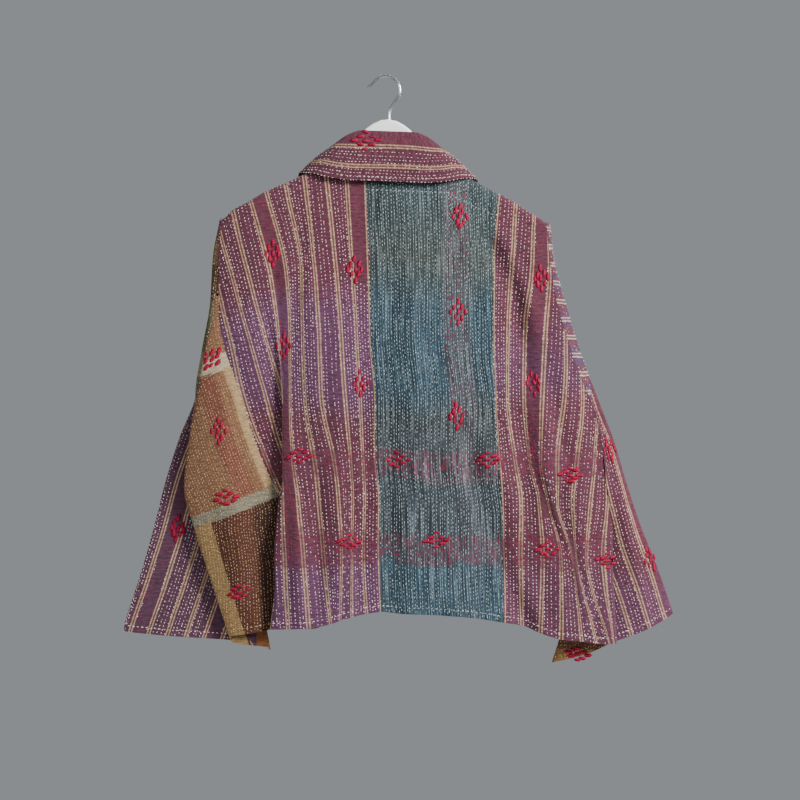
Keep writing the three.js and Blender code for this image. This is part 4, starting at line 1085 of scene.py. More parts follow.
# %% The tree that lays threads
def thread_tree():
    """Lays one rounded, flattened thread on each point, its length along the row."""
    tree = bpy.data.node_groups.new("Laid threads", "GeometryNodeTree")
    face = tree.interface
    face.new_socket("Geometry", in_out="INPUT", socket_type="NodeSocketGeometry")
    for name, value in (("Length", 0.0026), ("Width", 0.0014), ("Height", 0.0009)):
        face.new_socket(name, in_out="INPUT", socket_type="NodeSocketFloat").default_value = value
    face.new_socket("Thread", in_out="INPUT", socket_type="NodeSocketMaterial")
    face.new_socket("Geometry", in_out="OUTPUT", socket_type="NodeSocketGeometry")
    given = tree.nodes.new("NodeGroupInput").outputs
    ball = node(tree, "GeometryNodeMeshUVSphere", {"Segments": 4, "Rings": 3, "Radius": 0.5})
    ball = node(tree, "GeometryNodeTransform", {"Geometry": ball, "Rotation": (0.0, np.pi / 2, 0.0)})
    ball = node(tree, "GeometryNodeSetShadeSmooth", {"Geometry": ball})
    outwards = node(tree, "GeometryNodeInputNamedAttribute", {"Name": "outwards"}, data_type="FLOAT_VECTOR")
    along = node(tree, "GeometryNodeInputNamedAttribute", {"Name": "along"}, data_type="FLOAT_VECTOR")
    turned = node(tree, "FunctionNodeAlignRotationToVector", {"Vector": outwards}, axis="Z")
    turned = node(tree, "FunctionNodeAlignRotationToVector", {"Rotation": turned, "Vector": along},
                  axis="X", pivot_axis="Z")
    size = node(tree, "ShaderNodeCombineXYZ",
                {"X": given["Length"], "Y": given["Width"], "Z": given["Height"]})
    vary = node(tree, "FunctionNodeRandomValue", {"Min": 0.8, "Max": 1.2, "Seed": 3},
                out=1, data_type="FLOAT")
    size = node(tree, "ShaderNodeVectorMath", {0: size, "Scale": vary}, operation="SCALE")
    laid = node(tree, "GeometryNodeInstanceOnPoints",
                {"Points": given["Geometry"], "Instance": ball, "Rotation": turned, "Scale": size})
    laid = node(tree, "GeometryNodeRealizeInstances", {"Geometry": laid})
    laid = node(tree, "GeometryNodeSetMaterial", {"Geometry": laid, "Material": given["Thread"]})
    tree.links.new(laid, tree.nodes.new("NodeGroupOutput").inputs[0])
    return tree


THREADS = thread_tree()
print("nodes in the thread tree:", len(THREADS.nodes))

# %% Lay threads
def lay_threads(name, p, n, along, thread, length, width, height):
    """Runs the tree on loose points and keeps the result as a plain mesh."""
    loose = bpy.data.meshes.new(name + "_points")
    loose.from_pydata(p.tolist(), [], [])
    for label, data in (("outwards", n), ("along", along)):
        carried = loose.attributes.new(label, "FLOAT_VECTOR", "POINT").data
        carried.foreach_set("vector", data.astype(np.float32).ravel())
    points = put(name + "_points", loose)
    modifier = points.modifiers.new("threads", "NODES")
    modifier.node_group = THREADS
    ids = {item.name: item.identifier for item in THREADS.interface.items_tree if item.in_out == "INPUT"}
    for label, value in (("Length", length), ("Width", width), ("Height", height), ("Thread", thread)):
        modifier[ids[label]] = value
    evaluated = points.evaluated_get(bpy.context.evaluated_depsgraph_get())
    mesh = bpy.data.meshes.new_from_object(evaluated)
    for label in ("outwards", "along"):
        if label in mesh.attributes:
            mesh.attributes.remove(mesh.attributes[label])
    bpy.data.objects.remove(points)
    return put(name, mesh)


print("sockets of the tree:", [item.name for item in THREADS.interface.items_tree])

# %% [markdown]
# ## Materials
# The cloth is hand-woven cotton from old saris: matt, soft, a little faded, with uneven
# threads. A picture of the weave would blur close up and repeat, so each pattern is drawn
# from real sizes with nodes. Stripes are woven in, so they follow the cloth's own map, which
# is counted in metres across and down the cut.

# %% Colours and a matt cotton to start from
def hexed(code, alpha=1.0):
    """An sRGB hex colour as linear light."""
    values = [int(code[i:i + 2], 16) / 255 for i in (1, 3, 5)]
    return (*[v / 12.92 if v <= 0.04045 else ((v + 0.055) / 1.055) ** 2.4 for v in values], alpha)


def new_material(name, finish):
    """A material, its node tree and its shader, whose inputs take this finish."""
    material = bpy.data.materials.new(name)
    material.use_nodes = True
    shader = material.node_tree.nodes["Principled BSDF"]
    for socket, value in finish.items():
        shader.inputs[socket].default_value = value
    return material, material.node_tree, shader


def cotton(name):
    """Plain-woven cotton, spun and woven by hand: rough fibres that scatter light, with some sheen."""
    material, tree, shader = new_material(name, {
        "Roughness": 0.88, "Specular IOR Level": 0.25, "Sheen Weight": 0.15, "Sheen Roughness": 0.5})
    place = node(tree, "ShaderNodeUVMap", uv_map="cloth")
    split = node(tree, "ShaderNodeSeparateXYZ", {0: place}).node
    where = node(tree, "ShaderNodeTexCoord", out="Object")
    return material, tree, shader, split.outputs[0], split.outputs[1], where


def quilted(tree, shader, x, y, height=0.9):
    """Soft crinkles across the rows of stitches, and single threads, as bump."""
    at = node(tree, "ShaderNodeCombineXYZ", {0: x, 1: y})
    crinkles = node(tree, "ShaderNodeMapping", {0: at, 3: (95, 330, 1)})
    crinkle = node(tree, "ShaderNodeTexNoise",
                   {"Vector": crinkles, "Scale": 1.0, "Detail": 3.0, "Roughness": 0.6})
    weave = node(tree, "ShaderNodeMapping", {0: at, 3: (900, 520, 1)})
    thread = node(tree, "ShaderNodeTexNoise", {"Vector": weave, "Scale": 1.0, "Detail": 1.0})
    soft = node(tree, "ShaderNodeBump", {"Height": crinkle, "Distance": 0.0018 * height, "Strength": 0.95})
    fine = node(tree, "ShaderNodeBump",
                {"Height": thread, "Distance": 0.0004, "Strength": 0.8, "Normal": soft})
    tree.links.new(fine, shader.inputs["Normal"])
    return crinkle, thread


def within(tree, value, low, high):
    """1 where the value lies between two limits, else 0."""
    over = node(tree, "ShaderNodeMath", {0: value, 1: low}, operation="GREATER_THAN")
    under = node(tree, "ShaderNodeMath", {0: value, 1: high}, operation="LESS_THAN")
    return node(tree, "ShaderNodeMath", {0: over, 1: under}, operation="MULTIPLY")


print("plum as linear light:", [round(part, 3) for part in hexed("#7b3d51")])

# %% [markdown]
# ### Striped plum cotton
# The body is cut from a sari dyed plum, with pale warp threads laid in pairs as double
# lines; between some of them the ground is plain and redder. A wave texture would draw even
# stripes, but these wander and fold, so the cloth's map is counted in stripes instead. One
# recipe serves the body, the sleeves and the collar.

# %% Where the plain bands run
PLUM = {"plum": "#7b3d51", "red": "#813f54", "purple": "#804d77", "cream": "#ffd2a2"}
PLAIN_BANDS = {
    # cut: pitch, first line, plain intervals with the height in mm where each ends
    "back_left": (27, 0, [(0, 300), (5, 716)]), "back_right": (27, 0, [(2, 640)]),
    "front_left": (27, 0, [(1, 900), (5, 900)]), "front_right": (27, 0, [(1, 900), (5, 900)]),
    "collar": (29, 21, [(1, 900)]), "sleeve_left_striped": (27, 23, [(0, 900), (4, 900)]),
    "sleeve_right_striped": (28, 15, [(-1, 900), (3, 900)]),
}
print("cuts with plain bands:", sorted(PLAIN_BANDS))

# %% Stripes and ground of the striped cotton
def double_line(mm, places):
    """Stops for a ramp with a pale double line in its middle; its edges lie this many mm out."""
    half = list(zip(places, (0, 0.95, 0.95, 0.1)))
    return ([(0.5 - place * mm, pale) for place, pale in half]
            + [(0.5 + place * mm, pale) for place, pale in reversed(half)])


def counted_stripes(tree, x, where, pitch, first):
    """The place across the cloth in stripes, a little uneven, and a pale double line on each."""
    wander = node(tree, "ShaderNodeTexNoise", {"Vector": where, "Scale": 9.0, "Detail": 1.0})
    stripe = node(tree, "ShaderNodeMath", {0: x, 1: 1000 / pitch, 2: -first / pitch},
                  operation="MULTIPLY_ADD")
    wander = node(tree, "ShaderNodeMath", {0: wander, 1: 0.16, 2: -0.08}, operation="MULTIPLY_ADD")
    stripe = node(tree, "ShaderNodeMath", {0: stripe, 1: wander}, operation="ADD")
    half = node(tree, "ShaderNodeMath", {0: stripe, 1: 0.5}, operation="ADD")
    repeat = node(tree, "ShaderNodeMath", {0: half}, operation="FRACT")
    double = double_line(1 / pitch, (3.2, 2.7, 1.4, 0.9))
    return stripe, node(tree, "ShaderNodeValToRGB", {0: repeat}, stops=double)


def dyed_ground(tree, stripe, level, bands, purple, colours):
    """Plum, redder between some lines, and faded to purple at some heights."""
    ground = hexed(colours["plum"])
    for interval, foot in bands:
        band = within(tree, stripe, float(interval), interval + 1.0)
        above = node(tree, "ShaderNodeMath", {0: level, 1: foot / 1000}, operation="LESS_THAN")
        band = node(tree, "ShaderNodeMath", {0: band, 1: above}, operation="MULTIPLY")
        ground = node(tree, "ShaderNodeMix", {0: band, 6: ground, 7: hexed(colours["red"])},
                      out=2, data_type="RGBA")
    heights = [(0.0, 0)]
    for top, foot, amount in purple:
        heights += [(top - 0.03, 0), (top + 0.02, amount), (foot - 0.02, amount), (min(1, foot + 0.03), 0)]
    if purple:
        tint = node(tree, "ShaderNodeValToRGB", {0: level}, stops=heights)
        ground = node(tree, "ShaderNodeMix", {0: tint, 6: ground, 7: hexed(colours["purple"])},
                      out=2, data_type="RGBA")
    return ground


print("colours of the striped cotton:", sorted(PLUM))

# %% Striped plum cotton
def striped_cotton(name, cut, purple=(), folded=False, colours=PLUM, cross=(), patch=None):
    """Handwoven striped cotton, dyed in the yarn: pale double lines every pitch on plum."""
    pitch, first, bands = PLAIN_BANDS[cut]
    material, tree, shader, x, y, where = cotton(name)
    if folded:
        x = node(tree, "ShaderNodeMath", {0: x}, operation="ABSOLUTE")
    stripe, line = counted_stripes(tree, x, where, pitch, first)
    cloud = node(tree, "ShaderNodeTexNoise", {"Vector": where, "Scale": 5.0, "Detail": 3.0})
    shift = node(tree, "ShaderNodeMath", {0: cloud, 1: 0.14, 2: -0.07}, operation="MULTIPLY_ADD")
    level = node(tree, "ShaderNodeMath", {0: y, 1: shift}, operation="ADD")
    ground = dyed_ground(tree, stripe, level, bands, purple, colours)

    # The pale lines are broken where the plum weft crosses them
    crinkle, thread = quilted(tree, shader, x, y)
    broken = node(tree, "ShaderNodeValToRGB", {0: thread}, stops=[(0.3, 0.55), (0.62, 1.0)])
    strength = node(tree, "ShaderNodeMath", {0: line, 1: broken}, operation="MULTIPLY")
    colour = node(tree, "ShaderNodeMix", {0: strength, 6: ground, 7: hexed(colours["cream"])},
                  out=2, data_type="RGBA")
    for top, foot in cross:
        band = node(tree, "ShaderNodeMath", {0: within(tree, level, top, foot), 1: 0.5},
                    operation="MULTIPLY")
        colour = node(tree, "ShaderNodeMix", {0: band, 6: colour, 7: hexed("#82445a")},
                      out=2, data_type="RGBA")
    if patch:
        edge, top, code = patch
        spot = node(tree, "ShaderNodeSeparateXYZ", {0: where}).node
        right = node(tree, "ShaderNodeMath", {0: spot.outputs[0], 1: edge}, operation="GREATER_THAN")
        under = node(tree, "ShaderNodeMath", {0: spot.outputs[2], 1: top}, operation="LESS_THAN")
        corner = node(tree, "ShaderNodeMath", {0: right, 1: under}, operation="MULTIPLY")
        colour = node(tree, "ShaderNodeMix", {0: corner, 6: colour, 7: hexed(code)},
                      out=2, data_type="RGBA")
    # The cloth darkened to its tone, and darker still where the crinkle noise is low: painted shade in the
    # hollows of the bump's crinkles. The cloud noise gives random wear.
    shade = node(tree, "ShaderNodeValToRGB", {0: crinkle}, stops=[(0.3, 0.22), (0.7, 0.6)])
    worn = node(tree, "ShaderNodeValToRGB", {0: cloud}, stops=[(0.3, 0.86), (0.7, 1.14)])
    for factor in (shade, worn):
        colour = node(tree, "ShaderNodeMix", {0: 1.0, 6: colour, 7: factor}, out=2, data_type="RGBA",
                      blend_type="MULTIPLY")
    tree.links.new(colour, shader.inputs["Base Color"])
    return material


print("materials so far:", len(bpy.data.materials))

# %% The striped cloths
CROSS_BANDS = ((0.545, 0.585), (0.665, 0.712))  # metres down, where faded red runs across
ORANGE_SCRAP = (-0.192, -0.797, "#b06c3c")  # at the left cuff: its edge and top in metres, its colour
darker = dict(PLUM, plum="#74404f", red="#7c445a", purple="#68425c")
materials = {
    "back_left": striped_cotton("plum_stripe_left", "back_left", ((0.34, 0.47, 0.8), (0.71, 0.9, 0.9)),
                                cross=CROSS_BANDS),
    "back_right": striped_cotton("plum_stripe_right", "back_right", ((0.38, 0.46, 0.5), (0.71, 0.9, 0.3)),
                                 cross=CROSS_BANDS),
    "front": striped_cotton("plum_stripe_front", "front_left", ((0.34, 0.47, 0.8), (0.71, 0.9, 0.9)),
                            cross=CROSS_BANDS),
    "sleeve_left": striped_cotton("sleeve_stripe_left", "sleeve_left_striped", ((0.5, 0.95, 0.7),),
                                  folded=True, colours=darker, patch=ORANGE_SCRAP),
    "sleeve_right": striped_cotton("sleeve_stripe_right", "sleeve_right_striped", ((0.74, 0.95, 0.5),),
                                   folded=True),
    "collar": striped_cotton("collar_stripe", "collar", ()),
}
print("striped:", sorted(materials))

# %% [markdown]
# ### Indigo slub cotton
# The middle panel is another old cloth: indigo and grey-green threads, spun thick and thin,
# so that it looks streaked from top to bottom. Each thread could be a curve, but there are
# hundreds. Noise drawn out along the warp gives the streaks both their colour and relief.

# %% Indigo slub cotton
def indigo_slub():
    """Slub cotton, dyed with indigo and loosely woven from thick and thin threads."""
    material, tree, shader, x, y, where = cotton("indigo_slub")
    at = node(tree, "ShaderNodeCombineXYZ", {0: x, 1: y})
    warps = node(tree, "ShaderNodeMapping", {0: at, 3: (640, 13, 1)})
    slub = node(tree, "ShaderNodeTexNoise",
                {"Vector": warps, "Scale": 1.0, "Detail": 4.0, "Roughness": 0.7})
    wefts = node(tree, "ShaderNodeMapping", {0: at, 3: (30, 420, 1)})
    weft = node(tree, "ShaderNodeTexNoise", {"Vector": wefts, "Scale": 1.0, "Detail": 2.0})
    cloud = node(tree, "ShaderNodeTexNoise", {"Vector": where, "Scale": 6.0, "Detail": 3.0})
    shift = node(tree, "ShaderNodeMath", {0: cloud, 1: 0.12, 2: -0.06}, operation="MULTIPLY_ADD")
    level = node(tree, "ShaderNodeMath", {0: y, 1: shift}, operation="ADD")
    colour = node(tree, "ShaderNodeValToRGB", {0: level}, stops=[
        (0.12, hexed("#4a5d62")), (0.2, hexed("#515f60")), (0.27, hexed("#565e58")),
        (0.33, hexed("#425f6f")), (0.45, hexed("#3f5a69")), (0.5, hexed("#4e5557")),
        (0.58, hexed("#48535b")), (0.68, hexed("#4c565e")), (0.72, hexed("#43606f"))])
    grey = node(tree, "ShaderNodeValToRGB", {0: x},
                stops=[(0.105, 0), (0.114, 0.6), (0.148, 0.6), (0.158, 0)])
    high = node(tree, "ShaderNodeValToRGB", {0: level}, stops=[(0.5, 1.0), (0.6, 0.25)])
    grey = node(tree, "ShaderNodeMath", {0: grey, 1: high}, operation="MULTIPLY")
    colour = node(tree, "ShaderNodeMix", {0: grey, 6: colour, 7: hexed("#6f696f")}, out=2, data_type="RGBA")
    tufts = node(tree, "ShaderNodeValToRGB", {0: slub}, stops=[(0.46, 0), (0.6, 0.75)])
    for top, foot in CROSS_BANDS:
        band = within(tree, level, top, foot)
        band = node(tree, "ShaderNodeMath", {0: band, 1: tufts}, operation="MULTIPLY")
        colour = node(tree, "ShaderNodeMix", {0: band, 6: colour, 7: hexed("#7e5562")},
                      out=2, data_type="RGBA")
    streak = node(tree, "ShaderNodeValToRGB", {0: slub}, stops=[(0.33, 0.06), (0.47, 0.3), (0.62, 0.95)])
    cross = node(tree, "ShaderNodeValToRGB", {0: weft}, stops=[(0.3, 0.84), (0.7, 1.16)])
    # Darker along the left seam, where a crease makes a deep valley: painted shade.
    seam = node(tree, "ShaderNodeValToRGB", {0: x}, stops=[(0.0, 0.72), (0.03, 0.78), (0.05, 1.0)])
    for factor in (streak, cross, seam):
        colour = node(tree, "ShaderNodeMix", {0: 1.0, 6: colour, 7: factor}, out=2, data_type="RGBA",
                      blend_type="MULTIPLY")
    pale = node(tree, "ShaderNodeValToRGB", {0: slub}, stops=[(0.56, 0), (0.66, 0.4)])
    colour = node(tree, "ShaderNodeMix", {0: pale, 6: colour, 7: hexed("#8d9a9c")}, out=2, data_type="RGBA")
    tree.links.new(colour, shader.inputs["Base Color"])
    quilted(tree, shader, x, y, 0.6)
    relief = node(tree, "ShaderNodeBump", {"Height": slub, "Distance": 0.0018, "Strength": 0.95,
                                           "Normal": shader.inputs["Normal"].links[0].from_socket})
    tree.links.new(relief, shader.inputs["Normal"])
    return material


materials["back_centre"] = indigo_slub()
print("indigo nodes:", len(materials["back_centre"].node_tree.nodes))

# %% [markdown]
# ### Patched sleeve cottons
# The sleeves are pieced from offcuts: brown and ochre cloth, an olive scrap, a plum one with
# stripes across it. Each scrap could be cut as a mesh, but they lie flat in one wall. Straight
# bands at real heights, tilted where the cloth hangs askew, lay them out most plainly.

# %% Patched sleeve cottons
def banded_cotton(name, bands, slope=0.0, rungs=None, strips_and_shadow=(), foot=None):
    """Pieced cotton, in bands down its length, each from its height to the next one's."""
    material, tree, shader, x, y, where = cotton(name)
    spot = node(tree, "ShaderNodeSeparateXYZ", {0: where}).node
    drift = node(tree, "ShaderNodeTexNoise", {"Vector": where, "Scale": 30.0, "Detail": 2.0})
    level = node(tree, "ShaderNodeMath", {0: spot.outputs[2], 1: -1.0}, operation="MULTIPLY")
    level = node(tree, "ShaderNodeMath", {0: spot.outputs[0], 1: slope, 2: level}, operation="MULTIPLY_ADD")
    level = node(tree, "ShaderNodeMath", {0: drift, 1: 0.006, 2: level}, operation="MULTIPLY_ADD")
    colour = node(tree, "ShaderNodeValToRGB", {0: level}, between="CONSTANT",
                  stops=[(place, hexed(code)) for place, code in bands])
    crinkle, thread = quilted(tree, shader, x, y)
    # Strips beside the cloth's first edge: pieces of cloth, and painted shadow where such a strip is passed
    # in
    for start, end, top, low, code, amount in strips_and_shadow:
        stops = [(max(0, start - 0.002), amount if start == 0 else 0), (start + 0.002, amount),
                 (end - 0.002, amount), (end + 0.002, 0)]
        near = node(tree, "ShaderNodeValToRGB", {0: x}, stops=stops)
        strip = within(tree, level, top, low)
        strip = node(tree, "ShaderNodeMath", {0: strip, 1: near}, operation="MULTIPLY")
        colour = node(tree, "ShaderNodeMix", {0: strip, 6: colour, 7: hexed(code)}, out=2, data_type="RGBA")
    if foot:
        lean, edge, top, code = foot
        out_at = node(tree, "ShaderNodeMath", {0: spot.outputs[2], 1: lean, 2: spot.outputs[0]},
                      operation="MULTIPLY_ADD")
        outer = node(tree, "ShaderNodeMath", {0: out_at, 1: edge}, operation="LESS_THAN")
        lower = node(tree, "ShaderNodeMath", {0: level, 1: top}, operation="GREATER_THAN")
        strip = node(tree, "ShaderNodeMath", {0: outer, 1: lower}, operation="MULTIPLY")
        colour = node(tree, "ShaderNodeMix", {0: strip, 6: colour, 7: hexed(code)}, out=2, data_type="RGBA")
    if rungs:
        first, gap, code = rungs
        count = node(tree, "ShaderNodeMath", {0: level, 1: 1 / gap, 2: -first / gap + 0.5},
                     operation="MULTIPLY_ADD")
        repeat = node(tree, "ShaderNodeMath", {0: count}, operation="FRACT")
        double = double_line(0.001 / gap, (3.6, 3.1, 1.9, 1.4))
        line = node(tree, "ShaderNodeValToRGB", {0: repeat}, stops=double)
        colour = node(tree, "ShaderNodeMix", {0: line, 6: colour, 7: hexed(code)}, out=2, data_type="RGBA")
    # The cloth darkened to its tone, and darker still where the crinkle noise is low: painted shade in the
    # hollows of the bump's crinkles.
    shade = node(tree, "ShaderNodeValToRGB", {0: crinkle}, stops=[(0.3, 0.3), (0.7, 0.68)])
    grain = node(tree, "ShaderNodeValToRGB", {0: thread}, stops=[(0.35, 0.82), (0.65, 1.14)])
    for factor in (shade, grain):
        colour = node(tree, "ShaderNodeMix", {0: 1.0, 6: colour, 7: factor}, out=2, data_type="RGBA",
                      blend_type="MULTIPLY")
    tree.links.new(colour, shader.inputs["Base Color"])
    return material


print("materials so far:", len(bpy.data.materials))

# %% The pieced cloths
materials["sleeve_left_head"] = banded_cotton("patched_left", [
    (0.0, "#6b3a48"), (0.245, "#8c6c4c"), (0.275, "#5c4030"), (0.33, "#767456"), (0.405, "#a89878"),
    (0.44, "#7c7c64")])
materials["sleeve_left_brown"] = banded_cotton("brown_patchwork", [
    (0.0, "#9a6c4e"), (0.312, "#d8c6a4"), (0.336, "#966a4c"), (0.534, "#98927c"), (0.553, "#603424")],
    slope=0.389, strips_and_shadow=[
        (0.0, 0.014, 0.336, 0.534, "#cca878", 0.95), (0.03, 0.058, 0.336, 0.534, "#8e4e40", 0.75),
        # Dark brown beside the body, from the lower band down: painted shadow of the body's edge
        (0.0, 0.045, 0.553, 1.0, "#3c2018", 0.75)],
    foot=(0.3, -0.452, 0.553, "#b08c5a"))
materials["sleeve_right_head"] = banded_cotton("laddered_plum", [
    (0.0, "#7a4a5e"), (0.265, "#7c4457"), (0.292, "#744868"), (0.318, "#7a4458"), (0.345, "#744868"),
    (0.371, "#7c4457"), (0.397, "#6d4c6a"), (0.424, "#7a4458"), (0.45, "#6d4c6a"), (0.474, "#7d8578")],
    rungs=(0.252, 0.0265, "#ecd4bc"))
materials["sleeve_right_brown"] = banded_cotton("brown_wedge", [(0.0, "#7e5438"), (0.836, "#a87e48")])
print("patched:", [name for name in materials if "sleeve" in name])

# %% [markdown]
# ### Threads, plastic and wire
# Thread is twisted cotton and matt, a little uneven in shade. The hanger's arms are moulded
# polystyrene and its hook is steel wire, bent and chromed. One plain colour each would look
# like new plastic, so fine noise varies the thread's shade and the gloss of the other two.

# %% Threads
def plain_thread(name, code, dark):
    """Twisted cotton thread: matt, with single stitches a little lighter or darker."""
    material, tree, shader = new_material(name, {"Roughness": 0.8, "Specular IOR Level": 0.2})
    where = node(tree, "ShaderNodeTexCoord", out="Object")
    spot = node(tree, "ShaderNodeTexNoise", {"Vector": where, "Scale": 260.0, "Detail": 1.0})
    colour = node(tree, "ShaderNodeValToRGB", {0: spot}, stops=[(0.35, hexed(dark)), (0.6, hexed(code))])
    tree.links.new(colour, shader.inputs["Base Color"])
    return material


threads = {
    "pink": plain_thread("thread_cream_pink", "#eed8d2", "#a07c86"),
    "white": plain_thread("thread_pale", "#b4c2c4", "#66767c"),
    "ochre": plain_thread("thread_ochre", "#d2b084", "#8e6a46"),
    "crimson": plain_thread("thread_crimson", "#a20838", "#7a0828"),
    "faded": plain_thread("thread_faded_red", "#9c2444", "#782040"),
}
print("threads:", sorted(threads))

# %% Plastic and wire
def moulded_plastic():
    """White polystyrene, moulded: smooth, slightly glossy, with faint flow waviness."""
    material, tree, shader = new_material("white_polystyrene", {"Base Color": hexed("#fbfbf8"), "IOR": 1.59})
    where = node(tree, "ShaderNodeTexCoord", out="Object")
    wave = node(tree, "ShaderNodeTexNoise", {"Vector": where, "Scale": 60.0, "Detail": 2.0})
    gloss = node(tree, "ShaderNodeValToRGB", {0: wave}, stops=[(0.3, 0.28), (0.7, 0.4)])
    uneven = node(tree, "ShaderNodeBump", {"Height": wave, "Distance": 0.0003, "Strength": 0.4})
    tree.links.new(gloss, shader.inputs["Roughness"])
    tree.links.new(uneven, shader.inputs["Normal"])
    return material


def chromed_wire():
    """Steel wire, bent cold and chrome plated, a little dulled by handling."""
    material, tree, shader = new_material("chromed_wire", {"Base Color": hexed("#c9cccf"), "Metallic": 1.0})
    where = node(tree, "ShaderNodeTexCoord", out="Object")
    dull = node(tree, "ShaderNodeTexNoise", {"Vector": where, "Scale": 400.0, "Detail": 2.0})
    gloss = node(tree, "ShaderNodeValToRGB", {0: dull}, stops=[(0.3, 0.14), (0.7, 0.3)])
    tree.links.new(gloss, shader.inputs["Roughness"])
    return material


materials["hanger_body"] = moulded_plastic()
materials["hanger_hook"] = chromed_wire()
for held in frame["nodes"]["hanger_body"].material_slots:
    held.material = materials["hanger_body"]
print("hanger:", materials["hanger_body"].name, materials["hanger_hook"].name)

# %% [markdown]
# ## Hook
# The real hook is one wire, bent cold round a former and pushed into the arms. The solid has
# few facets. Here a smooth curve with a round bevel takes the same route, because a bevelled
# curve bends as wire does; it is then made a plain mesh.

# %% Hook
WIRE = 2.1  # radius of the wire
HOOK_RADIUS = 21
HOOK_MIDDLE = (-3.5, WIRE - HOOK_RADIUS)
turns = np.radians(np.arange(-30, 151, 20))
route = [(1.5, -80), (1.5, -64), (1.5, -49), (8.5, -37)]
middle_x, middle_z = HOOK_MIDDLE
route += [(middle_x + HOOK_RADIUS * np.cos(t), middle_z + HOOK_RADIUS * np.sin(t)) for t in turns]
route += [(-30, -15)]
wire = bpy.data.curves.new("wire", "CURVE")
wire.dimensions = "3D"
spline = wire.splines.new("NURBS")
spline.points.add(len(route) - 1)
for spot, (x, z) in zip(spline.points, route):
    spot.co = (x / 1000, 0, z / 1000, 1)
spline.use_endpoint_u = True
spline.order_u = 3
spline.resolution_u = 12
wire.bevel_depth = WIRE / 1000
wire.bevel_resolution = 5
wire.use_fill_caps = True
bent = put("bent_wire", wire)
hook_mesh = bpy.data.meshes.new_from_object(bent.evaluated_get(bpy.context.evaluated_depsgraph_get()))
hook = put("hook_wire", hook_mesh)
bpy.data.objects.remove(bent)
hook.data.shade_smooth()
hook.data.materials.clear()
hook.data.materials.append(materials["hanger_hook"])
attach(hook, "root")
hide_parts("hanger_hook")
print("hook faces:", len(hook.data.polygons))

# %% [markdown]
# ## Finish of each cut
# Each cloth is quilted in one colour of thread: cream and pink on plum, white on indigo,
# ochre on brown. Faded red stitches fleck the plain bands. One stitch could serve them all;
# each thread has its own length and spacing here, because that is what tells the cloths apart.

# %% Thread and slot of each cut
FINISH = {
    # cut: material, thread, slot
    "back_left": ("back_left", "pink", "plum_stripe"),
    "back_centre": ("back_centre", "white", "indigo_slub"),
    "back_right": ("back_right", "pink", "plum_stripe"),
    "front_left": ("front", "pink", "plum_stripe"),
    "front_right": ("front", "pink", "plum_stripe"),
    "collar": ("collar", "pink", "collar_stripe"),
    "sleeve_left_head": ("sleeve_left_head", "ochre", "sleeve_patch"),
    "sleeve_left_striped": ("sleeve_left", "pink", "sleeve_stripe"),
    "sleeve_left_brown": ("sleeve_left_brown", "ochre", "brown_patch"),
    "sleeve_right_head": ("sleeve_right_head", "pink", "sleeve_stripe"),
    "sleeve_right_striped": ("sleeve_right", "pink", "sleeve_stripe"),
    "sleeve_right_brown": ("sleeve_right_brown", "ochre", "brown_patch"),
}
HEMMED = {
    "back_left": ["foot"], "back_centre": ["foot", "head"], "back_right": ["foot"],
    "front_left": ["foot", "far"], "front_right": ["foot", "far"],
    "sleeve_left_striped": ["foot"], "sleeve_left_brown": ["foot"],
    "sleeve_right_striped": ["foot"], "sleeve_right_brown": ["foot"], "collar": ["far"],
}
INSETS = {"foot": 9, "far": 6, "head": 39}  # mm from an edge to its row of stitches
FLECKED = [(545, 585), (668, 712)]  # mm down, where faded red stitches run across the back
GREY_BAND = (112, 150)  # mm across the centre back
print("cuts to finish:", len(FINISH), "with hems:", len(HEMMED))

# %% Kinds of stitch
def kinds_of_stitch(cut, places):
    """Cream stitches, and faded red ones that fleck the plain bands and the two cross bands."""
    name = "cloth_" + cut
    across_mm = sample(name, places[:, 0], places[:, 1], "a")
    height = -sample(name, places[:, 0], places[:, 1], "p")[:, 2]
    chance = rng.random(len(places))
    cream = chance > (0.6 if cut == "sleeve_right_head" else 0.05)
    fleck = np.zeros(len(places), bool)
    if cut in PLAIN_BANDS:
        pitch, first, bands = PLAIN_BANDS[cut]
        stripe = (abs(across_mm) - first) / pitch
        open_ground = np.zeros(len(places), bool)
        for interval, foot in bands:
            open_ground |= (np.floor(stripe) == interval) & (height < foot)
        off_line = abs(stripe - np.round(stripe))
        open_ground &= off_line > 0.14
        cream &= ~open_ground & ((off_line > 0.12) | (chance > 0.7))
        fleck |= open_ground & (chance < 0.2)
    for top, foot in FLECKED:
        if cut.startswith("back"):
            fleck |= (height > top) & (height < foot) & (chance > 0.62)
    if cut == "back_centre":
        in_band = (across_mm > GREY_BAND[0]) & (across_mm < GREY_BAND[1])
        fleck |= in_band & (height < 520) & (chance > 0.85)
    return cream & ~fleck, fleck


print("heights with flecks:", FLECKED)

# %% Stitch each cut
FLECK = (0.0036, 0.0015, 0.0009)  # length, width and height in metres
HEM_STITCH = (0.0038, 0.0013, 0.0011)
with_stitches = {}
total = 0
for cut, (material, thread, slot) in FINISH.items():
    name = "cloth_" + cut
    cuts[cut].data.materials.append(materials[material])
    gap, step, length, width, height = STITCHING[thread]
    places = stitch_rows(name, gap, step)
    cream, fleck = kinds_of_stitch(cut, places)
    made = lay_threads("stitches_" + cut, *on_cloth(name, places[cream]), threads[thread],
                       length / 1000, width / 1000, height / 1000)
    with_stitches[cut] = [made]
    total += cream.sum()
    if fleck.any():
        with_stitches[cut].append(
            lay_threads("flecks_" + cut, *on_cloth(name, places[fleck]), threads["faded"], *FLECK))
    for side in HEMMED.get(cut, []):
        edge = edge_places(name, side, INSETS[side])
        way = (0, 1) if side == "far" else (1, 0)
        with_stitches[cut].append(
            lay_threads(f"hem_{side}_{cut}", *on_cloth(name, edge, way), threads[thread], *HEM_STITCH))
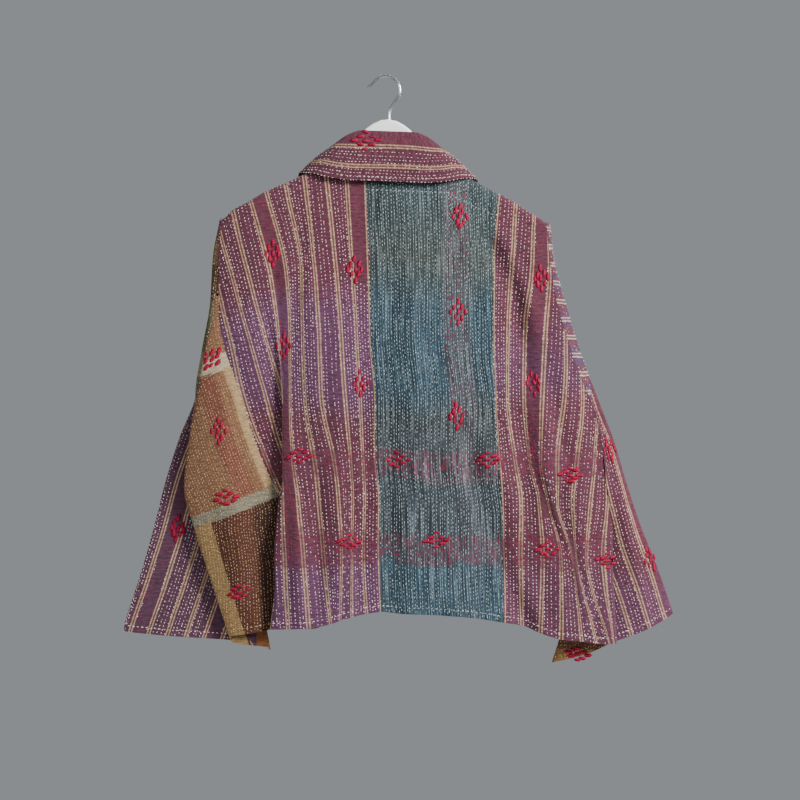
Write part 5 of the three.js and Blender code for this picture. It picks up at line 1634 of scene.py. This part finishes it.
print("stitches:", total)

# %% [markdown]
# ## Worked motifs
# Here and there a diamond of nine thick crimson stitches is worked over the quilting. It
# is upright on the stripes and lies on its side along the cross bands. Each could be a decal,
# but raised thread shades itself, so the same tree lays thicker stitches at listed places.

# %% Where the motifs are
UPRIGHT = [(0, -2), (-1, -1), (1, -1), (-2, 0), (0, 0), (2, 0), (-1, 1), (1, 1), (0, 2)]
MOTIFS = {
    # x z lying
    "back_left": [(-168, -260, 0), (-152, -396, 0), (-48, -284, 0), (-39, -447, 0), (-128, -554, 1),
                  (-55, -679, 1)],
    "back_centre": [(104, -207, 0), (100, -345, 0), (101, -496, 0), (12, -558, 1), (145, -561, 1),
                    (71, -673, 1)],
    "back_right": [(223, -294, 0), (212, -447, 0), (265, -581, 1), (231, -689, 1), (316, -706, 1)],
    "collar": [(-31, -97, 0)],
    "sleeve_left_brown": [(-257, -412, 0), (-246, -516, 0), (-236, -613, 1), (-215, -751, 1)],
    "sleeve_left_striped": [(-302, -661, 0)],
    "sleeve_right_striped": [(325, -545, 0), (383, -705, 0)],
    "sleeve_right_brown": [(275, -842, 1)],
}
MOTIF_STITCH = (0.0112, 0.0054, 0.001)  # length, width and height in metres
print("motifs:", sum(len(places) for places in MOTIFS.values()))

# %% Stitches of a motif
def place_on(name, x, z):
    """The grid place of a shell, on a side that faces the back, at this x and z."""
    p, n = GRID[name]["p"], GRID[name]["n"]
    away = (p[..., 0] - x) ** 2 + (p[..., 2] - z) ** 2
    away = away + np.where(n[..., 1] < 0, 0, 1e6) + 4 * (p[..., 1] + 40)
    return np.unravel_index(np.argmin(away), away.shape)


def motif(name, x, z, lying):
    """Points, outward and row directions of one diamond of thick stitches."""
    i, j = place_on(name, x, z)
    p, n = GRID[name]["p"], GRID[name]["n"]
    at, out = p[i, j], n[i, j]
    down = unit(p[i, min(j + 3, p.shape[1] - 1)] - p[i, max(j - 3, 0)])
    side = unit(np.cross(down, out))
    if lying:
        down, side = side, down
    step = (6.2, 10.2) if name == "cloth_collar" else (5.0, 8.4)
    spots, turns, outs = [], [], []
    for across_by, down_by in UPRIGHT:
        near = at + side * across_by * step[0] + down * down_by * step[1] * 0.92 + rng.normal(0, 0.9, 3)
        away = (p[..., 0] - near[0]) ** 2 + (p[..., 2] - near[2]) ** 2 + 2 * (p[..., 1] - at[1]) ** 2
        k, m = np.unravel_index(np.argmin(away), away.shape)
        here, facing = p[k, m], n[k, m]
        near = near - facing * np.dot(near - here, facing)
        spots.append(near + facing * (WALL / 2 + 0.25))
        turned = down + side * rng.normal(0.12, 0.16)
        turns.append(unit(turned - facing * np.dot(turned, facing)))
        outs.append(facing)
    return spots, outs, turns


print("first motif's place on its grid:", place_on("cloth_back_left", *MOTIFS["back_left"][0][:2]))

# %% Motifs
for cut, places in MOTIFS.items():
    spots, outs, turns = [], [], []
    for x, z, lying in places:
        one = motif("cloth_" + cut, x, z, lying)
        spots += one[0]
        outs += one[1]
        turns += one[2]
    made = lay_threads("motifs_" + cut, np.array(spots) / 1000, np.array(outs), np.array(turns),
                       threads["crimson"], *MOTIF_STITCH)
    with_stitches[cut].append(made)
print("faces of the last motifs:", len(made.data.polygons))

# %% [markdown]
# ## Join the pieces to the frame
# A garment is one body of cloth, held up by its hanger. Every shell stands for its solid and
# rides on that body, and its stitches go with it. Its flat size is what a maker cut; it could
# be typed in, but is measured along the threads of the shell, so that it is true to it.


def measured(name):
    """Width, length and area of a cut laid flat, in metres, measured along its threads."""
    p = GRID[name]["p"] / 1000
    rows = np.linalg.norm(np.diff(p, axis=0), axis=-1).sum(axis=0)
    lines = np.linalg.norm(np.diff(p, axis=1), axis=-1).sum(axis=1)
    a, b, c, d = p[:-1, :-1], p[1:, :-1], p[1:, 1:], p[:-1, 1:]
    halves = (np.cross(b - a, c - a), np.cross(c - a, d - a))
    area = sum(np.linalg.norm(half, axis=-1) for half in halves).sum() / 2
    return rows.max(), lines.max(), area


print("the collar laid flat:", [round(float(size), 3) for size in measured("cloth_collar")])

for cut, (material, thread, slot) in FINISH.items():
    piece = cuts[cut]
    width, length, area = measured("cloth_" + cut)
    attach(piece, "root")
    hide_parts(cut)
    for made in with_stitches[cut]:
        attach(made, "root")
    print(f"{cut}: flat {width * 1000:.0f} x {length * 1000:.0f} mm, area {area:.3f} m2")

# %% Count the triangles
def triangles(thing):
    """A face with n corners makes n - 2 triangles."""
    return len(thing.data.loops) - 2 * len(thing.data.polygons)


counted = {made.name: triangles(made) for cut in FINISH for made in [cuts[cut], *with_stitches[cut]]}
counted[hook.name] = triangles(hook)
largest = max(counted, key=counted.get)
print("triangles:", sum(counted.values()), "largest piece:", largest, counted[largest])

# %% [markdown]
# ## Camera, light and floor
# The jacket was photographed square on, level with its middle, in soft light from a window
# at the right. A sun lamp would give hard shadows, so square area lights stand in for the
# window and for the pale room, over a plain floor.

# %% Camera
CAMERA = (0.0174, -2.525, -0.4727)
AWAY = 2.5  # metres from the camera to the cloth of the back
ACROSS_PICTURE = 1.16  # metres at that distance, 1.45 mm to each of the picture's 800 pixels
SENSOR = 36  # mm
camera = put("camera", bpy.data.cameras.new("camera"))
camera.location = CAMERA
camera.rotation_euler = (np.pi / 2, 0, 0)
camera.data.lens = SENSOR * AWAY / ACROSS_PICTURE
bpy.context.scene.camera = camera
print("camera at:", [round(place, 3) for place in camera.location])

# %% Lights
JACKET_MIDDLE = (0, 0, -0.5)


def soft_light(name, place, size, power):
    """A square area light that faces the jacket's middle."""
    light = put(name, bpy.data.lights.new(name, "AREA"))
    light.data.shape = "SQUARE"
    light.data.size = size
    light.data.energy = power
    light.location = place
    way = np.array(JACKET_MIDDLE) - np.array(place)
    light.rotation_euler = (np.arctan2(np.hypot(way[0], way[1]), -way[2]), 0, np.arctan2(-way[0], way[1]))


soft_light("window", (2.3, -1.7, 0.8), 0.9, 215)
soft_light("fill", (-2.2, -2.0, 0.1), 1.8, 32)
soft_light("behind", (0.6, 2.2, 0.6), 1.6, 40)
world = bpy.data.worlds.new("studio")
bpy.context.scene.world = world
world.use_nodes = True
world.node_tree.nodes["Background"].inputs["Color"].default_value = hexed("#8b8f92")
world.node_tree.nodes["Background"].inputs["Strength"].default_value = 1.0

# %% Floor
angles = np.linspace(0, 2 * np.pi, 65)[:-1]
disc = bpy.data.meshes.new("floor")
disc.from_pydata([(np.cos(a), np.sin(a), -1.3) for a in angles], [], [list(range(64))])
floor = put("floor", disc)
# Matt painted board, as a studio's floor is
floor_paint = new_material("pale_floor", {"Base Color": hexed("#c9cbcc"), "Roughness": 0.8})[0]
floor.data.materials.append(floor_paint)
print("floor corners:", len(disc.vertices))
